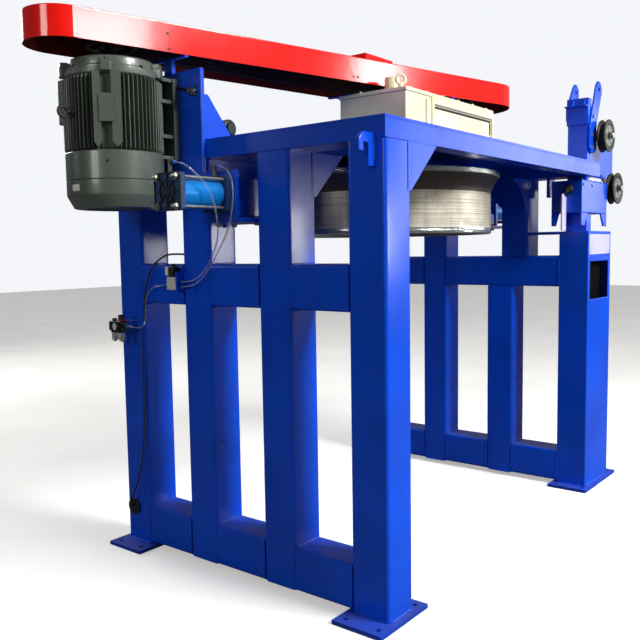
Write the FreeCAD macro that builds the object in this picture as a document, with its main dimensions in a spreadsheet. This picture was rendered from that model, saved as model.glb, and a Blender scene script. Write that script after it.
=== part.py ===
import FreeCAD, Part
import math
import os
import re

import Sketcher

os.makedirs("parts", exist_ok=True)
doc = FreeCAD.newDocument("WireDrawingMachine")

# ---------------------------------------------------------------- driving sizes
# Millimetres. The frame: the origin is on the floor under the near front leg,
# on its axis. +X runs from the near side frame to the far one, +Y from the
# front to the back, +Z up.
SIZES = {
    # side frames
    "post_width": 200.0,
    "stile_pitch": 533.0,
    "frame_spacing": 2430.0,
    "deck_top": 2220.0,
    "deck_band": 95.0,
    "deck_plate": 12.0,
    "beam_width": 100.0,
    "foot_plate": 20.0,
    "foot_out": 112.0,
    "foot_in": 78.0,
    "foot_edge": 32.0,
    "anchor_hole": 26.0,
    "anchor_margin": 45.0,
    "rail_gap": 30.0,
    "low_rail_top": 243.0,
    "mid_rail_tall": 212.0,
    "mid_rail_under": 623.0,
    "gusset_plate": 16.0,
    "gusset_wide": 225.0,
    "gusset_tall": 215.0,
    "haunch_long": 190.0,
    "hook_long": 113.0,
    "hook_tall": 140.0,
    "hook_root": 45.0,
    "hook_lip": 33.0,
    "hook_thick": 22.0,
    "hook_drop": 75.0,
    # the wide far front leg and the window in it
    "wide_leg": 450.0,
    "wide_leg_under": 460.0,
    "wide_leg_wall": 10.0,
    "window_tall": 255.0,
    "window_under": 205.0,
    "window_side": 40.0,
    "tie_plate": 18.0,
    "post_shift": 107.0,
    # drawing drum
    "drum_across": 1330.0,
    "drum_flange": 48.0,
    "drum_tall": 360.0,
    "drum_under": 118.0,
    "drum_wall": 28.0,
    "drum_web": 26.0,
    "hub_radius": 120.0,
    "sleeve_radius": 150.0,
    "shaft_radius": 70.0,
    "run_gap": 6.0,
    "seat_gap": 0.3,
    # gearbox
    "box_near": 163.0,
    "box_long": 1112.0,
    "box_fore": 282.5,
    "box_deep": 473.0,
    "box_tall": 372.0,
    "lid_thick": 22.0,
    "lid_lip": 6.0,
    "eye_ring": 26.0,
    "eye_bar": 9.0,
    "eye_rise": 48.0,
    "eye_collar": 16.0,
    "eye_margin": 30.0,
    "eye_inset": 53.0,
    "eye_far": 500.0,
    "breather_radius": 45.0,
    "breather_tall": 46.0,
    "breather_in": 90.0,
    "breather_back": 151.0,
    # belt drive and its guard
    "guard_rise": 422.0,
    "guard_tall": 145.0,
    "guard_sheet": 4.0,
    "guard_small": 180.0,
    "guard_large": 266.0,
    "guard_reach": 248.0,
    "guard_out": 1093.0,
    "guard_fore": 49.5,
    "stand_thick": 10.0,
    "small_pulley": 125.0,
    "large_pulley": 220.0,
    "pulley_out": 785.0,
    "input_radius": 35.0,
    "pulley_wide": 96.0,
    "belt_deep": 14.0,
    "belt_gap": 0.4,
    # motor
    "motor_radius": 222.0,
    "foot_rise": 28.0,
    "foot_pad": 34.0,
    "foot_start": 114.0,
    "foot_tall": 400.0,
    "foot_web": 18.0,
    "motor_in": 269.0,
    "motor_long": 712.0,
    "cowl_tall": 133.0,
    "guard_clear": 50.0,
    "shield_tall": 60.0,
    "motor_shaft": 30.0,
    "motor_plate": 25.0,
    "brace_long": 207.0,
    "brace_tall": 220.0,
    "plate_out": 101.0,
    "plate_drop": 310.0,
    "plate_rise": 345.0,
    # press rollers on each side of the drum
    "press_under": 170.0,
    "cap_square": 170.0,
    "cap_thick": 50.0,
    "barrel_radius": 74.0,
    "barrel_wall": 10.0,
    "tie_rod": 8.0,
    "tie_rod_at": 66.0,
    "press_out": 408.0,
    "flange_square": 222.0,
    "flange_out": 85.0,
    "flange_thick": 25.0,
    "rod_radius": 25.0,
    "roller_radius": 60.0,
    "roller_tall": 150.0,
    "roller_rest": 120.0,
    "port_radius": 10.0,
    "port_tall": 55.0,
    "port_reach": 27.0,
    "piston_gap": 0.5,
    "rod_gap": 0.1,
    "fork_plate": 20.0,
    "fork_gap": 6.0,
    "shelf_in": 160.0,
    "shelf_under": 134.0,
    "shelf_thick": 20.0,
    # die box
    "die_reach": 26.0,
    "die_long": 500.0,
    "die_front": -60.0,
    "die_deep": 207.0,
    "die_rise": 123.0,
    "die_tall": 214.0,
    "die_wall": 12.0,
    # wire guide column and wheels
    "column_gap": 30.0,
    "column_thick": 50.0,
    "column_front": 0.0,
    "column_deep": 138.0,
    "head_rise": 275.0,
    "head_wall": 6.0,
    "ear_out": 170.0,
    "ear_rise": 75.0,
    "ear_radius": 55.0,
    "ear_hole": 16.0,
    "column_rise": 450.0,
    "wheel_radius": 112.0,
    "wheel_groove": 88.0,
    "wheel_wide": 60.0,
    "wheel_y": -70.0,
    "upper_out": 170.0,
    "upper_rise": 201.0,
    "lower_out": 377.0,
    "lower_drop": 151.0,
    "axle_radius": 14.0,
    "guide_plate": 12.0,
    "carrier_long": 490.0,
    "carrier_drop": 81.0,
    "carrier_rise": 251.0,
    "lug_wide": 90.0,
    # air valve on the near middle rail, service unit on the near rear leg
    "valve_rise": 81.0,
    "valve_in": 94.0,
    "unit_z": 1238.0,
    "unit_in": 33.0,
    # guide box round each press rod
    "guide_long": 280.0,
    "guide_half": 72.0,
    "guide_rise": 78.0,
    "guide_wall": 12.0,
}

# Places that follow from the sizes above, so that a changed frame, deck or
# motor takes along what stands on it.
PLACES = {
    "mid_rail_top": "deck_top - mid_rail_under",
    "mid_rail_low": "mid_rail_top - mid_rail_tall",
    "wide_leg_top": "deck_top - wide_leg_under",
    "window_high": "wide_leg_top - window_under",
    "window_low": "window_high - window_tall",
    "drum_high": "deck_top - drum_under",
    "drum_low": "drum_high - drum_tall",
    "guard_low": "deck_top + guard_rise",
    "motor_top": "guard_low - guard_clear",
    "motor_low": "motor_top - motor_long",
    "plate_high": "deck_top + plate_rise",
    "plate_low": "deck_top - plate_drop",
    "press_z": "drum_high - press_under",
    "shelf_low": "press_z - shelf_under",
    "die_low": "wide_leg_top + die_rise",
    "head_low": "deck_top + head_rise",
    "column_top": "deck_top + column_rise",
    "ear_z": "column_top + ear_rise",
    "upper_z": "deck_top + upper_rise",
    "lower_z": "deck_top - lower_drop",
    "carrier_low": "deck_top - carrier_drop",
    "carrier_high": "deck_top + carrier_rise",
    "box_left": "frame_spacing / 2 - box_near",
    "box_front": "1.5 * stile_pitch - box_fore",
    "pulley_x": "frame_spacing / 2 + pulley_out",
    "guard_far_x": "frame_spacing / 2 + guard_out",
    "guard_far_y": "1.5 * stile_pitch - guard_fore",
    "die_left": "frame_spacing - post_width / 2 - die_reach",
    "column_left": "frame_spacing + post_width / 2 + column_gap",
    "ear_x": "column_left + ear_out",
    "upper_x": "column_left + upper_out",
    "lower_x": "column_left + lower_out",
    "motor_height": "motor_radius + foot_rise",
    "motor_y": "3 * stile_pitch - motor_in",
    "plate_front": "2 * stile_pitch - plate_out",
    "valve_low": "mid_rail_low + valve_rise",
    "valve_front": "2 * stile_pitch + valve_in",
    "unit_front": "3 * stile_pitch - unit_in",
}

sheet = doc.addObject("Spreadsheet::Sheet", "Sizes")
rows = list(SIZES.items()) + [(alias, "=" + text) for alias, text in PLACES.items()]
for row, (alias, value) in enumerate(rows, start=1):
    sheet.set(f"A{row}", alias)
    sheet.set(f"B{row}", str(value))
    sheet.setAlias(f"B{row}", alias)
doc.recompute()


# ---------------------------------------------------------------- small helpers
def formula(text):
    """A formula in the sheet's own words, as FreeCAD reads it."""
    return re.sub(r"\b([a-z]+(?:_[a-z]+)+)\b", r"Sizes.\1", str(text))


def bind(obj, prop, text):
    obj.setExpression(prop, formula(text))


def place(obj, x, y, z):
    bind(obj, "Placement.Base.x", x)
    bind(obj, "Placement.Base.y", y)
    bind(obj, "Placement.Base.z", z)
    return obj


def box(name, x, y, z, long, deep, tall):
    """A block by its lowest corner and its three sizes."""
    obj = doc.addObject("Part::Box", name)
    bind(obj, "Length", long)
    bind(obj, "Width", deep)
    bind(obj, "Height", tall)
    return place(obj, x, y, z)


TURN = {
    "x": FreeCAD.Rotation(FreeCAD.Vector(0, 1, 0), 90),
    "y": FreeCAD.Rotation(FreeCAD.Vector(1, 0, 0), -90),
    "z": FreeCAD.Rotation(),
}


def rod(name, axis, x, y, z, radius, long):
    """A cylinder from a point along +X, +Y or +Z."""
    obj = doc.addObject("Part::Cylinder", name)
    obj.Placement.Rotation = TURN[axis]
    bind(obj, "Radius", radius)
    bind(obj, "Height", long)
    return place(obj, x, y, z)


def join(name, pieces):
    obj = doc.addObject("Part::MultiFuse", name)
    obj.Shapes = pieces
    obj.Refine = True
    return obj


def group(name, pieces):
    """Like pieces that don't touch, in one node."""
    obj = doc.addObject("Part::Compound", name)
    obj.Links = pieces
    return obj


def cut(name, base, tools):
    tool = tools[0] if len(tools) == 1 else join(name + "_tool", tools)
    obj = doc.addObject("Part::Cut", name)
    obj.Base = base
    obj.Tool = tool
    return obj


NODES = []


def node(obj, label):
    """The finished sub-part, under the name of its file."""
    obj.Label = label
    NODES.append(obj)
    return obj


def body_on(name, plane):
    """A new body with an empty sketch on one of its own origin planes."""
    body = doc.addObject("PartDesign::Body", name)
    sketch = body.newObject("Sketcher::SketchObject", name + "_sketch")
    base = [f for f in body.Origin.OriginFeatures if f.Role == plane][0]
    sketch.AttachmentSupport = [(base, "")]
    sketch.MapMode = "FlatFace"
    return body, sketch


def outline(sketch, corners):
    """A closed outline of straight edges, each corner held by two formulas."""
    first = sketch.GeometryCount
    count = len(corners)
    spot = [(10.0 * math.cos(6.28 * i / count), 10.0 * math.sin(6.28 * i / count)) for i in range(count)]
    for i in range(count):
        start = FreeCAD.Vector(*spot[i], 0)
        end = FreeCAD.Vector(*spot[(i + 1) % count], 0)
        sketch.addGeometry(Part.LineSegment(start, end), False)
    for i in range(count):
        sketch.addConstraint(
            Sketcher.Constraint("Coincident", first + i, 2, first + (i + 1) % count, 1)
        )
    for i, (across, up) in enumerate(corners):
        for kind, text in (("DistanceX", across), ("DistanceY", up)):
            at = sketch.addConstraint(Sketcher.Constraint(kind, first + i, 1, 1.0))
            sketch.setExpression(f"Constraints[{at}]", formula(text))


def plate(name, plane, corners, thick, x, y, z, both_ways=False):
    """A flat plate padded from an outline of straight edges."""
    body, sketch = body_on(name, plane)
    outline(sketch, corners)
    pad = body.newObject("PartDesign::Pad", name + "_pad")
    pad.Profile = sketch
    pad.Midplane = both_ways
    bind(pad, "Length", thick)
    place(body, x, y, z)
    return body


def turned(name, corners, x, y, z, axis="z"):
    """A turned piece: an outline of radius and height, spun about its axis."""
    body, sketch = body_on(name, "XZ_Plane")
    outline(sketch, corners)
    spin = body.newObject("PartDesign::Revolution", name + "_spin")
    spin.Profile = sketch
    spin.ReferenceAxis = (sketch, ["V_Axis"])
    spin.Angle = 360.0
    body.Placement.Rotation = TURN[axis]
    place(body, x, y, z)
    return body


# ---------------------------------------------------------------- shared places
# Formulas that several pieces share, so that they move together.
HALF = "post_width / 2"
BEAM_LOW = "(deck_top - deck_band)"
FAR_IN = "(frame_spacing - post_width / 2)"
FAR_OUT = "(frame_spacing + post_width / 2)"
BACK = "(3 * stile_pitch + post_width / 2)"
DRUM_X = "(frame_spacing / 2)"
DRUM_Y = "(1.5 * stile_pitch)"
DRUM_R = "(drum_across / 2)"
MOTOR_X = "(-post_width / 2 - motor_plate - motor_height)"
GAP = "(stile_pitch - post_width)"


# ---------------------------------------------------------------- side frames
def post(name, x, row, low, high):
    """One square post of a side frame; row counts the posts from the front."""
    return box(
        name, f"{x} - {HALF}", f"{row} * stile_pitch - {HALF}", low, "post_width", "post_width", f"{high} - {low}"
    )


def rails(name, x, low, high, rows):
    """The lengths of rail between posts, one solid for each gap."""
    pieces = []
    for row in rows:
        pieces.append(
            box(
                f"{name}_{row}",
                f"{x} - {HALF}",
                f"{row} * stile_pitch + {HALF}",
                low,
                "post_width",
                GAP,
                f"{high} - {low}",
            )
        )
    return pieces


def foot(name, x_low, x_high, y_mid):
    """A base plate with an anchor hole in each corner."""
    deep = "(post_width + 2 * foot_edge)"
    slab = box(
        name + "_slab", x_low, f"{y_mid} - {deep} / 2", 0, f"{x_high} - ({x_low})", deep, "foot_plate"
    )
    holes = []
    for i, x in enumerate((f"{x_low} + anchor_margin", f"{x_high} - anchor_margin")):
        for j, side in enumerate((-1, 1)):
            holes.append(
                rod(
                    f"{name}_hole{i}{j}",
                    "z",
                    x,
                    f"{y_mid} + {side} * ({deep} / 2 - anchor_margin)",
                    "-foot_plate",
                    "anchor_hole / 2",
                    "3 * foot_plate",
                )
            )
    return cut(name, slab, holes)


def side_frames():
    near_posts = []
    for row in range(4):
        low = "foot_plate" if row in (0, 3) else "rail_gap"
        near_posts.append(post(f"near_post_{row}", "0", row, low, BEAM_LOW))
    node(group("near_post_row", near_posts), "near_posts")
    near_rails = rails("near_mid", "0", "mid_rail_low", "mid_rail_top", range(3))
    near_rails += rails("near_low", "0", "rail_gap", "low_rail_top", range(3))
    node(group("near_rail_rows", near_rails), "near_rails")

    upper = box(
        "far_upper_post",
        FAR_IN,
        f"stile_pitch - {HALF} - post_shift",
        "mid_rail_top",
        "post_width",
        "post_width",
        f"{BEAM_LOW} - mid_rail_top",
    )
    far_posts = [
        post("far_post_1", "frame_spacing", 1, "rail_gap", "mid_rail_low"),
        post("far_post_2", "frame_spacing", 2, "rail_gap", BEAM_LOW),
        post("far_post_3", "frame_spacing", 3, "foot_plate", BEAM_LOW),
        upper,
    ]
    node(group("far_post_row", far_posts), "far_posts")
    front = box(
        "far_mid_front",
        FAR_IN,
        HALF,
        "mid_rail_low",
        "post_width",
        f"stile_pitch + {GAP}",
        "mid_rail_top - mid_rail_low",
    )
    back = box(
        "far_mid_back",
        FAR_IN,
        f"2 * stile_pitch + {HALF}",
        "mid_rail_low",
        "post_width",
        GAP,
        "mid_rail_top - mid_rail_low",
    )
    # A thin plate ties the upper post to the top of the wide leg.
    tie = box(
        "leg_tie",
        FAR_IN,
        HALF,
        "wide_leg_top - tie_plate",
        "post_width",
        "stile_pitch - post_width - post_shift",
        "tie_plate",
    )
    low = rails("far_low", "frame_spacing", "rail_gap", "low_rail_top", range(3))
    node(group("far_rail_rows", [front, back, tie] + low), "far_rails")

    # The wide far front leg is a hollow box with a window in its front.
    outer = box(
        "wide_leg_outer", FAR_IN, f"-{HALF}", "foot_plate", "wide_leg", "post_width", "wide_leg_top - foot_plate"
    )
    hollow = box(
        "wide_leg_hollow",
        f"{FAR_IN} + wide_leg_wall",
        f"-{HALF} + wide_leg_wall",
        "window_low - 60",
        "wide_leg - 2 * wide_leg_wall",
        "post_width - 2 * wide_leg_wall",
        "window_high - window_low + 120",
    )
    window = box(
        "wide_leg_window",
        f"{FAR_IN} + window_side",
        f"-{HALF} - wide_leg_wall",
        "window_low",
        "wide_leg - 2 * window_side",
        "3 * wide_leg_wall",
        "window_high - window_low",
    )
    node(cut("far_front_leg_box", outer, [hollow, window]), "far_front_leg")
    near_edges = (f"-{HALF} - foot_out", f"{HALF} + foot_in")
    feet = [
        foot("near_foot_front", *near_edges, "0"),
        foot("near_foot_rear", *near_edges, "3 * stile_pitch"),
        foot("far_foot_front", f"{FAR_IN} - foot_in", f"{FAR_IN} + wide_leg + foot_in", "0"),
        foot("far_foot_rear", f"{FAR_IN} - foot_in", f"{FAR_OUT} + foot_out", "3 * stile_pitch"),
    ]
    node(group("feet", feet), "base_plates")


# ---------------------------------------------------------------- deck
def deck():
    wide = "(frame_spacing + post_width)"
    beam_tall = "(deck_band - deck_plate)"
    slab = box(
        "deck_slab", f"-{HALF}", f"-{HALF}", "deck_top - deck_plate", wide, f"{BACK} + {HALF}", "deck_plate"
    )
    hole = rod(
        "deck_hole", "z", DRUM_X, DRUM_Y, "deck_top - 2 * deck_plate", "sleeve_radius + 1", "3 * deck_plate"
    )
    node(cut("deck_slab_cut", slab, [hole]), "deck_plate")
    cross = [
        box("deck_front", f"-{HALF}", f"-{HALF}", BEAM_LOW, wide, "beam_width", beam_tall),
        box("deck_rear", f"-{HALF}", f"{BACK} - beam_width", BEAM_LOW, wide, "beam_width", beam_tall),
    ]
    for i, side in enumerate((-1, 1)):
        cross.append(
            box(
                f"deck_rib_{i}",
                HALF,
                f"{DRUM_Y} + {side} * (sleeve_radius + 80) - beam_width / 4",
                "deck_top - deck_plate - beam_width / 2",
                "frame_spacing - post_width",
                "beam_width / 2",
                "beam_width / 2",
            )
        )
    node(group("deck_cross_row", cross), "deck_cross_beams")
    inner_y = f"-{HALF} + beam_width"
    inner_deep = f"{BACK} + {HALF} - 2 * beam_width"
    sides = [
        box("deck_near", f"-{HALF}", inner_y, BEAM_LOW, "post_width", inner_deep, beam_tall),
        box("deck_far", FAR_IN, inner_y, BEAM_LOW, "post_width", inner_deep, beam_tall),
    ]
    node(group("deck_side_row", sides), "deck_side_beams")


def gussets():
    # One plate in each corner of post and beam, square to the frame.
    corner = [("0", "0"), ("gusset_wide", "0"), ("0", "-gusset_tall")]
    near = []
    for row in range(4):
        near.append(
            plate(
                f"near_gusset_{row}",
                "XZ_Plane",
                corner,
                "gusset_plate",
                HALF,
                f"{row} * stile_pitch - {HALF} + gusset_plate",
                BEAM_LOW,
            )
        )

    # The far ones have a hollow curved edge.
    far = []
    rows = (f"stile_pitch - {HALF} - post_shift", f"2 * stile_pitch - {HALF}", f"3 * stile_pitch - {HALF}")
    for i, y in enumerate(rows):
        slab = box(
            f"far_gusset_slab_{i}",
            f"{FAR_IN} - gusset_wide",
            y,
            f"{BEAM_LOW} - gusset_tall",
            "gusset_wide",
            "gusset_plate",
            "gusset_tall",
        )
        hollow = rod(
            f"far_gusset_hollow_{i}",
            "y",
            f"{FAR_IN} - gusset_wide",
            f"{y} - gusset_plate",
            f"{BEAM_LOW} - gusset_tall",
            "0.88 * gusset_tall",
            "3 * gusset_plate",
        )
        far.append(cut(f"far_gusset_{i}", slab, [hollow]))

    # A haunch along the far frame joins the upper post to the deck beam.
    haunch = plate(
        "far_haunch_plate",
        "YZ_Plane",
        [("0", "0"), ("haunch_long", "0"), ("0", "-haunch_long")],
        "gusset_plate",
        FAR_IN,
        f"stile_pitch + {HALF} - post_shift",
        BEAM_LOW,
    )
    node(group("gusset_group", near + far + [haunch]), "gussets")


def hooks():
    """Three lifting hooks, flat plates with a slot open downwards. The motor plate takes the fourth corner."""
    inner = "(hook_long - hook_lip)"
    slot_top = "(hook_tall - hook_root)"
    lip_low = "(0.42 * hook_tall)"
    near = [
        ("0", "0"),
        ("0", "hook_tall"),
        ("-0.7 * hook_long", "hook_tall"),
        ("-hook_long", "0.8 * hook_tall"),
        ("-hook_long", lip_low),
        (f"-{inner}", lip_low),
        (f"-{inner}", slot_top),
        ("-hook_root", slot_top),
        ("-hook_root", "0"),
    ]
    far = [(f"-({across})", up) for across, up in near]
    low = f"{BEAM_LOW} + 20 - hook_tall"
    pair = []
    front = f"-{HALF} + hook_drop"
    rear = f"{BACK} - hook_drop + hook_thick"
    sides = (
        ("near_hook", near, f"-{HALF}", (front,)),
        ("far_hook", far, FAR_OUT, ("hook_drop + post_width", rear)),
    )
    for name, shape, x, rows in sides:
        for i, y in enumerate(rows):
            pair.append(plate(f"{name}_{i}", "XZ_Plane", shape, "hook_thick", x, y, low))
    node(group("hook_group", pair), "lifting_hooks")


# ---------------------------------------------------------------- drum
def drum():
    tall = "(drum_high - drum_low)"
    inner = f"({DRUM_R} - drum_wall)"
    web_low = f"({tall} - drum_web)"
    hub_low = f"({tall} - drum_web - hub_radius)"
    shape = [
        (inner, "0"),
        (DRUM_R, "0"),
        (DRUM_R, f"{tall} - 2.2 * drum_flange"),
        (f"{DRUM_R} + drum_flange", f"{tall} - drum_web"),
        (f"{DRUM_R} + drum_flange", tall),
        ("shaft_radius", tall),
        ("shaft_radius", hub_low),
        ("hub_radius", hub_low),
        ("hub_radius", web_low),
        (inner, web_low),
    ]
    node(turned("drum_shell", shape, DRUM_X, DRUM_Y, "drum_low"), "drum")
    shaft_low = "(drum_high - drum_web - hub_radius)"
    shaft = rod(
        "drum_shaft_rod", "z", DRUM_X, DRUM_Y, shaft_low, "shaft_radius", f"deck_top - seat_gap - {shaft_low}"
    )
    cap = rod(
        "drum_cap_disc", "z", DRUM_X, DRUM_Y, f"{shaft_low} - drum_web", "hub_radius - 12", "drum_web"
    )
    node(join("drum_shaft_solid", [shaft, cap]), "drum_shaft")


# ---------------------------------------------------------------- gearbox
def gearbox():
    case_tall = "(box_tall - lid_thick)"
    case = box("gear_case_box", "box_left", "box_front", "deck_top", "box_long", "box_deep", case_tall)
    lid = box(
        "gear_lid_box",
        "box_left - lid_lip",
        "box_front - lid_lip",
        f"deck_top + {case_tall}",
        "box_long + 2 * lid_lip",
        "box_deep + 2 * lid_lip",
        "lid_thick",
    )
    # The framed plate on the front of the case.
    frame_outer = box(
        "panel_outer", "box_left + 280", "box_front - 14", "deck_top", "box_long - 280", "14", case_tall
    )
    frame_inner = box(
        "panel_inner",
        "box_left + 309",
        "box_front - 20",
        "deck_top + 40",
        "box_long - 335",
        "20",
        f"{case_tall} - 82",
    )
    rib = box("panel_rib", "box_left + 217", "box_front - 14", "deck_top", "48", "14", f"{case_tall} - 20")
    frame = cut("panel_frame", frame_outer, [frame_inner])
    node(join("gear_case_solid", [case, frame, rib]), "gearbox_case")

    outer = rod("sleeve_outer", "z", DRUM_X, DRUM_Y, f"{BEAM_LOW} - run_gap", "sleeve_radius", "deck_band + run_gap")
    inner = rod(
        "sleeve_inner", "z", DRUM_X, DRUM_Y, f"{BEAM_LOW} - 4 * run_gap", "shaft_radius + run_gap", "2 * deck_band"
    )
    node(cut("sleeve_ring", outer, [inner]), "output_sleeve")

    boss_outer = rod("boss_outer", "z", "pulley_x", PULLEY_Y, "deck_top + box_tall", "90", "44")
    boss_inner = rod(
        "boss_inner", "z", "pulley_x", PULLEY_Y, "deck_top + box_tall - 5", "input_radius + run_gap", "60"
    )
    cap = rod(
        "breather_cap",
        "z",
        "box_left + breather_in",
        "box_front + breather_back",
        "deck_top + box_tall",
        "breather_radius",
        "breather_tall",
    )
    node(join("gear_lid_solid", [lid, cut("input_boss", boss_outer, [boss_inner]), cap]), "gearbox_lid")

    eyes = []
    corners = (
        ("front", "box_left + eye_margin", "box_front + eye_inset"),
        ("rear", "box_left + box_long - eye_far", "box_front + box_deep - eye_margin"),
    )
    for name, x, y in corners:
        ring = doc.addObject("Part::Torus", f"eye_ring_{name}")
        bind(ring, "Radius1", "eye_ring")
        bind(ring, "Radius2", "eye_bar")
        ring.Placement.Rotation = FreeCAD.Rotation(FreeCAD.Vector(1, -1, 0), 90)
        place(ring, x, y, "deck_top + box_tall + eye_rise")
        stem = rod(f"eye_stem_{name}", "z", x, y, "deck_top + box_tall", "eye_collar", "eye_rise - eye_ring")
        eyes.append(join(f"eye_{name}", [ring, stem]))
    node(group("gear_eyes", eyes), "gearbox_eye_bolts")


# ---------------------------------------------------------------- belt drive
def sized(alias):
    return float(sheet.get(alias))


def wrap(centre_a, radius_a, centre_b, radius_b):
    """The closed line of a belt round two circles: two arcs and two tangents."""
    run = centre_b - centre_a
    turn = math.atan2(run.y, run.x)
    lean = math.acos((radius_a - radius_b) / run.Length)

    def on(centre, radius, angle):
        return centre + FreeCAD.Vector(radius * math.cos(angle), radius * math.sin(angle), 0)

    a_left, a_right = on(centre_a, radius_a, turn + lean), on(centre_a, radius_a, turn - lean)
    b_left, b_right = on(centre_b, radius_b, turn + lean), on(centre_b, radius_b, turn - lean)
    edges = [
        Part.Arc(a_left, on(centre_a, radius_a, turn + math.pi), a_right).toShape(),
        Part.LineSegment(a_right, b_right).toShape(),
        Part.Arc(b_right, on(centre_b, radius_b, turn), b_left).toShape(),
        Part.LineSegment(b_left, a_left).toShape(),
    ]
    return Part.Face(Part.Wire(edges))


def feature(name, shape):
    obj = doc.addObject("Part::Feature", name)
    obj.Shape = shape
    return obj


def guard_line():
    """The plan line of the guard: over the motor, on to its far end."""
    motor = FreeCAD.Vector(
        -sized("post_width") / 2 - sized("motor_plate") - sized("motor_height"), sized("motor_y"), 0
    )
    far = FreeCAD.Vector(sized("guard_far_x"), sized("guard_far_y"), 0)
    along = (far - motor).normalize()
    return motor, motor - along * sized("guard_reach"), far, along


def belt_guard():
    motor, near_end, far_end, along = guard_line()
    up = FreeCAD.Vector(0, 0, 1)
    sheet_thick = sized("guard_sheet")
    small, large = sized("guard_small"), sized("guard_large")
    tall = sized("guard_tall")
    outer = wrap(near_end, small, far_end, large).extrude(up * tall)
    inner = wrap(near_end, small - sheet_thick, far_end, large - sheet_thick).extrude(up * (tall - sheet_thick))
    shell = outer.cut(inner)
    shell.translate(up * sized("guard_low"))
    hatch = box(
        "guard_hatch", "box_left + 50", "box_front + 313", "guard_low + guard_tall", "300", "300", "52"
    )
    node(join("belt_guard_solid", [feature("belt_guard_shell", shell), hatch]), "belt_guard")

    # Cross bars carry the skirt: one on the motor plate, two on the gearbox lid.
    pieces = []
    spots = (
        ("near", -sized("post_width") / 2 - sized("motor_plate") / 2, sized("plate_high")),
        ("mid", sized("box_left") + 190.0, sized("deck_top") + sized("box_tall")),
        ("far", sized("box_left") + sized("box_long") - 380.0, sized("deck_top") + sized("box_tall")),
    )
    thick = sized("stand_thick")
    bar_low = sized("guard_low") - thick
    for name, x, seat in spots:
        share = (x - near_end.x) / (far_end.x - near_end.x)
        middle = near_end.y + share * (far_end.y - near_end.y)
        half = (small + share * (large - small)) / abs(along.x)
        wide = sized("motor_plate")
        corner = FreeCAD.Vector(x - wide / 2, middle - half, bar_low)
        bar = Part.makeBox(wide, 2 * half, thick, corner)
        low_y = max(middle - half, sized("box_front") + 60.0) if name != "near" else middle - half / 2
        leg = Part.makeBox(wide, 60.0, bar_low - seat, FreeCAD.Vector(x - wide / 2, low_y, seat))
        solid = bar.fuse(leg)
        if name == "near":
            other = Part.makeBox(wide, 60.0, bar_low - seat, FreeCAD.Vector(x - wide / 2, middle + half / 2, seat))
            solid = solid.fuse(other)
        pieces.append(feature(f"guard_stand_{name}", solid.removeSplitter()))
    node(group("guard_stand_group", pieces), "guard_stands")

    # Pulleys and the belt between them.
    z_low = "(guard_low + 24)"
    node(
        join(
            "motor_pulley_solid",
            [
                rod("motor_pulley_disc", "z", MOTOR_X, "motor_y", z_low, "small_pulley", "pulley_wide"),
                rod(
                    "motor_shaft_rod",
                    "z",
                    MOTOR_X,
                    "motor_y",
                    "motor_top + seat_gap",
                    "motor_shaft",
                    f"{z_low} - motor_top",
                ),
            ],
        ),
        "motor_pulley",
    )
    node(
        join(
            "input_pulley_solid",
            [
                rod("input_pulley_disc", "z", "pulley_x", PULLEY_Y, z_low, "large_pulley", "pulley_wide"),
                rod(
                    "input_shaft_rod",
                    "z",
                    "pulley_x",
                    PULLEY_Y,
                    "deck_top + box_tall + seat_gap",
                    "input_radius",
                    f"{z_low} - deck_top - box_tall",
                ),
            ],
        ),
        "input_pulley",
    )
    gap = sized("belt_gap")
    deep = sized("belt_deep")
    input_at = FreeCAD.Vector(sized("pulley_x"), input_y(), 0)
    inner = wrap(motor, sized("small_pulley") + gap, input_at, sized("large_pulley") + gap)
    outer = wrap(motor, sized("small_pulley") + gap + deep, input_at, sized("large_pulley") + gap + deep)
    belt = outer.cut(inner).extrude(up * (sized("pulley_wide") - 8.0))
    belt.translate(up * (sized("guard_low") + 28.0))
    node(feature("drive_belt_loop", belt), "drive_belts")


def input_y():
    """The gearbox's input shaft stands on the guard's middle line."""
    motor, near_end, far_end, along = guard_line()
    share = (sized("pulley_x") - motor.x) / (far_end.x - motor.x)
    return motor.y + share * (far_end.y - motor.y)


PULLEY_Y = (
    f"(motor_y + (pulley_x - {MOTOR_X}) / (guard_far_x - {MOTOR_X}) * (guard_far_y - motor_y))"
)


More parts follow.
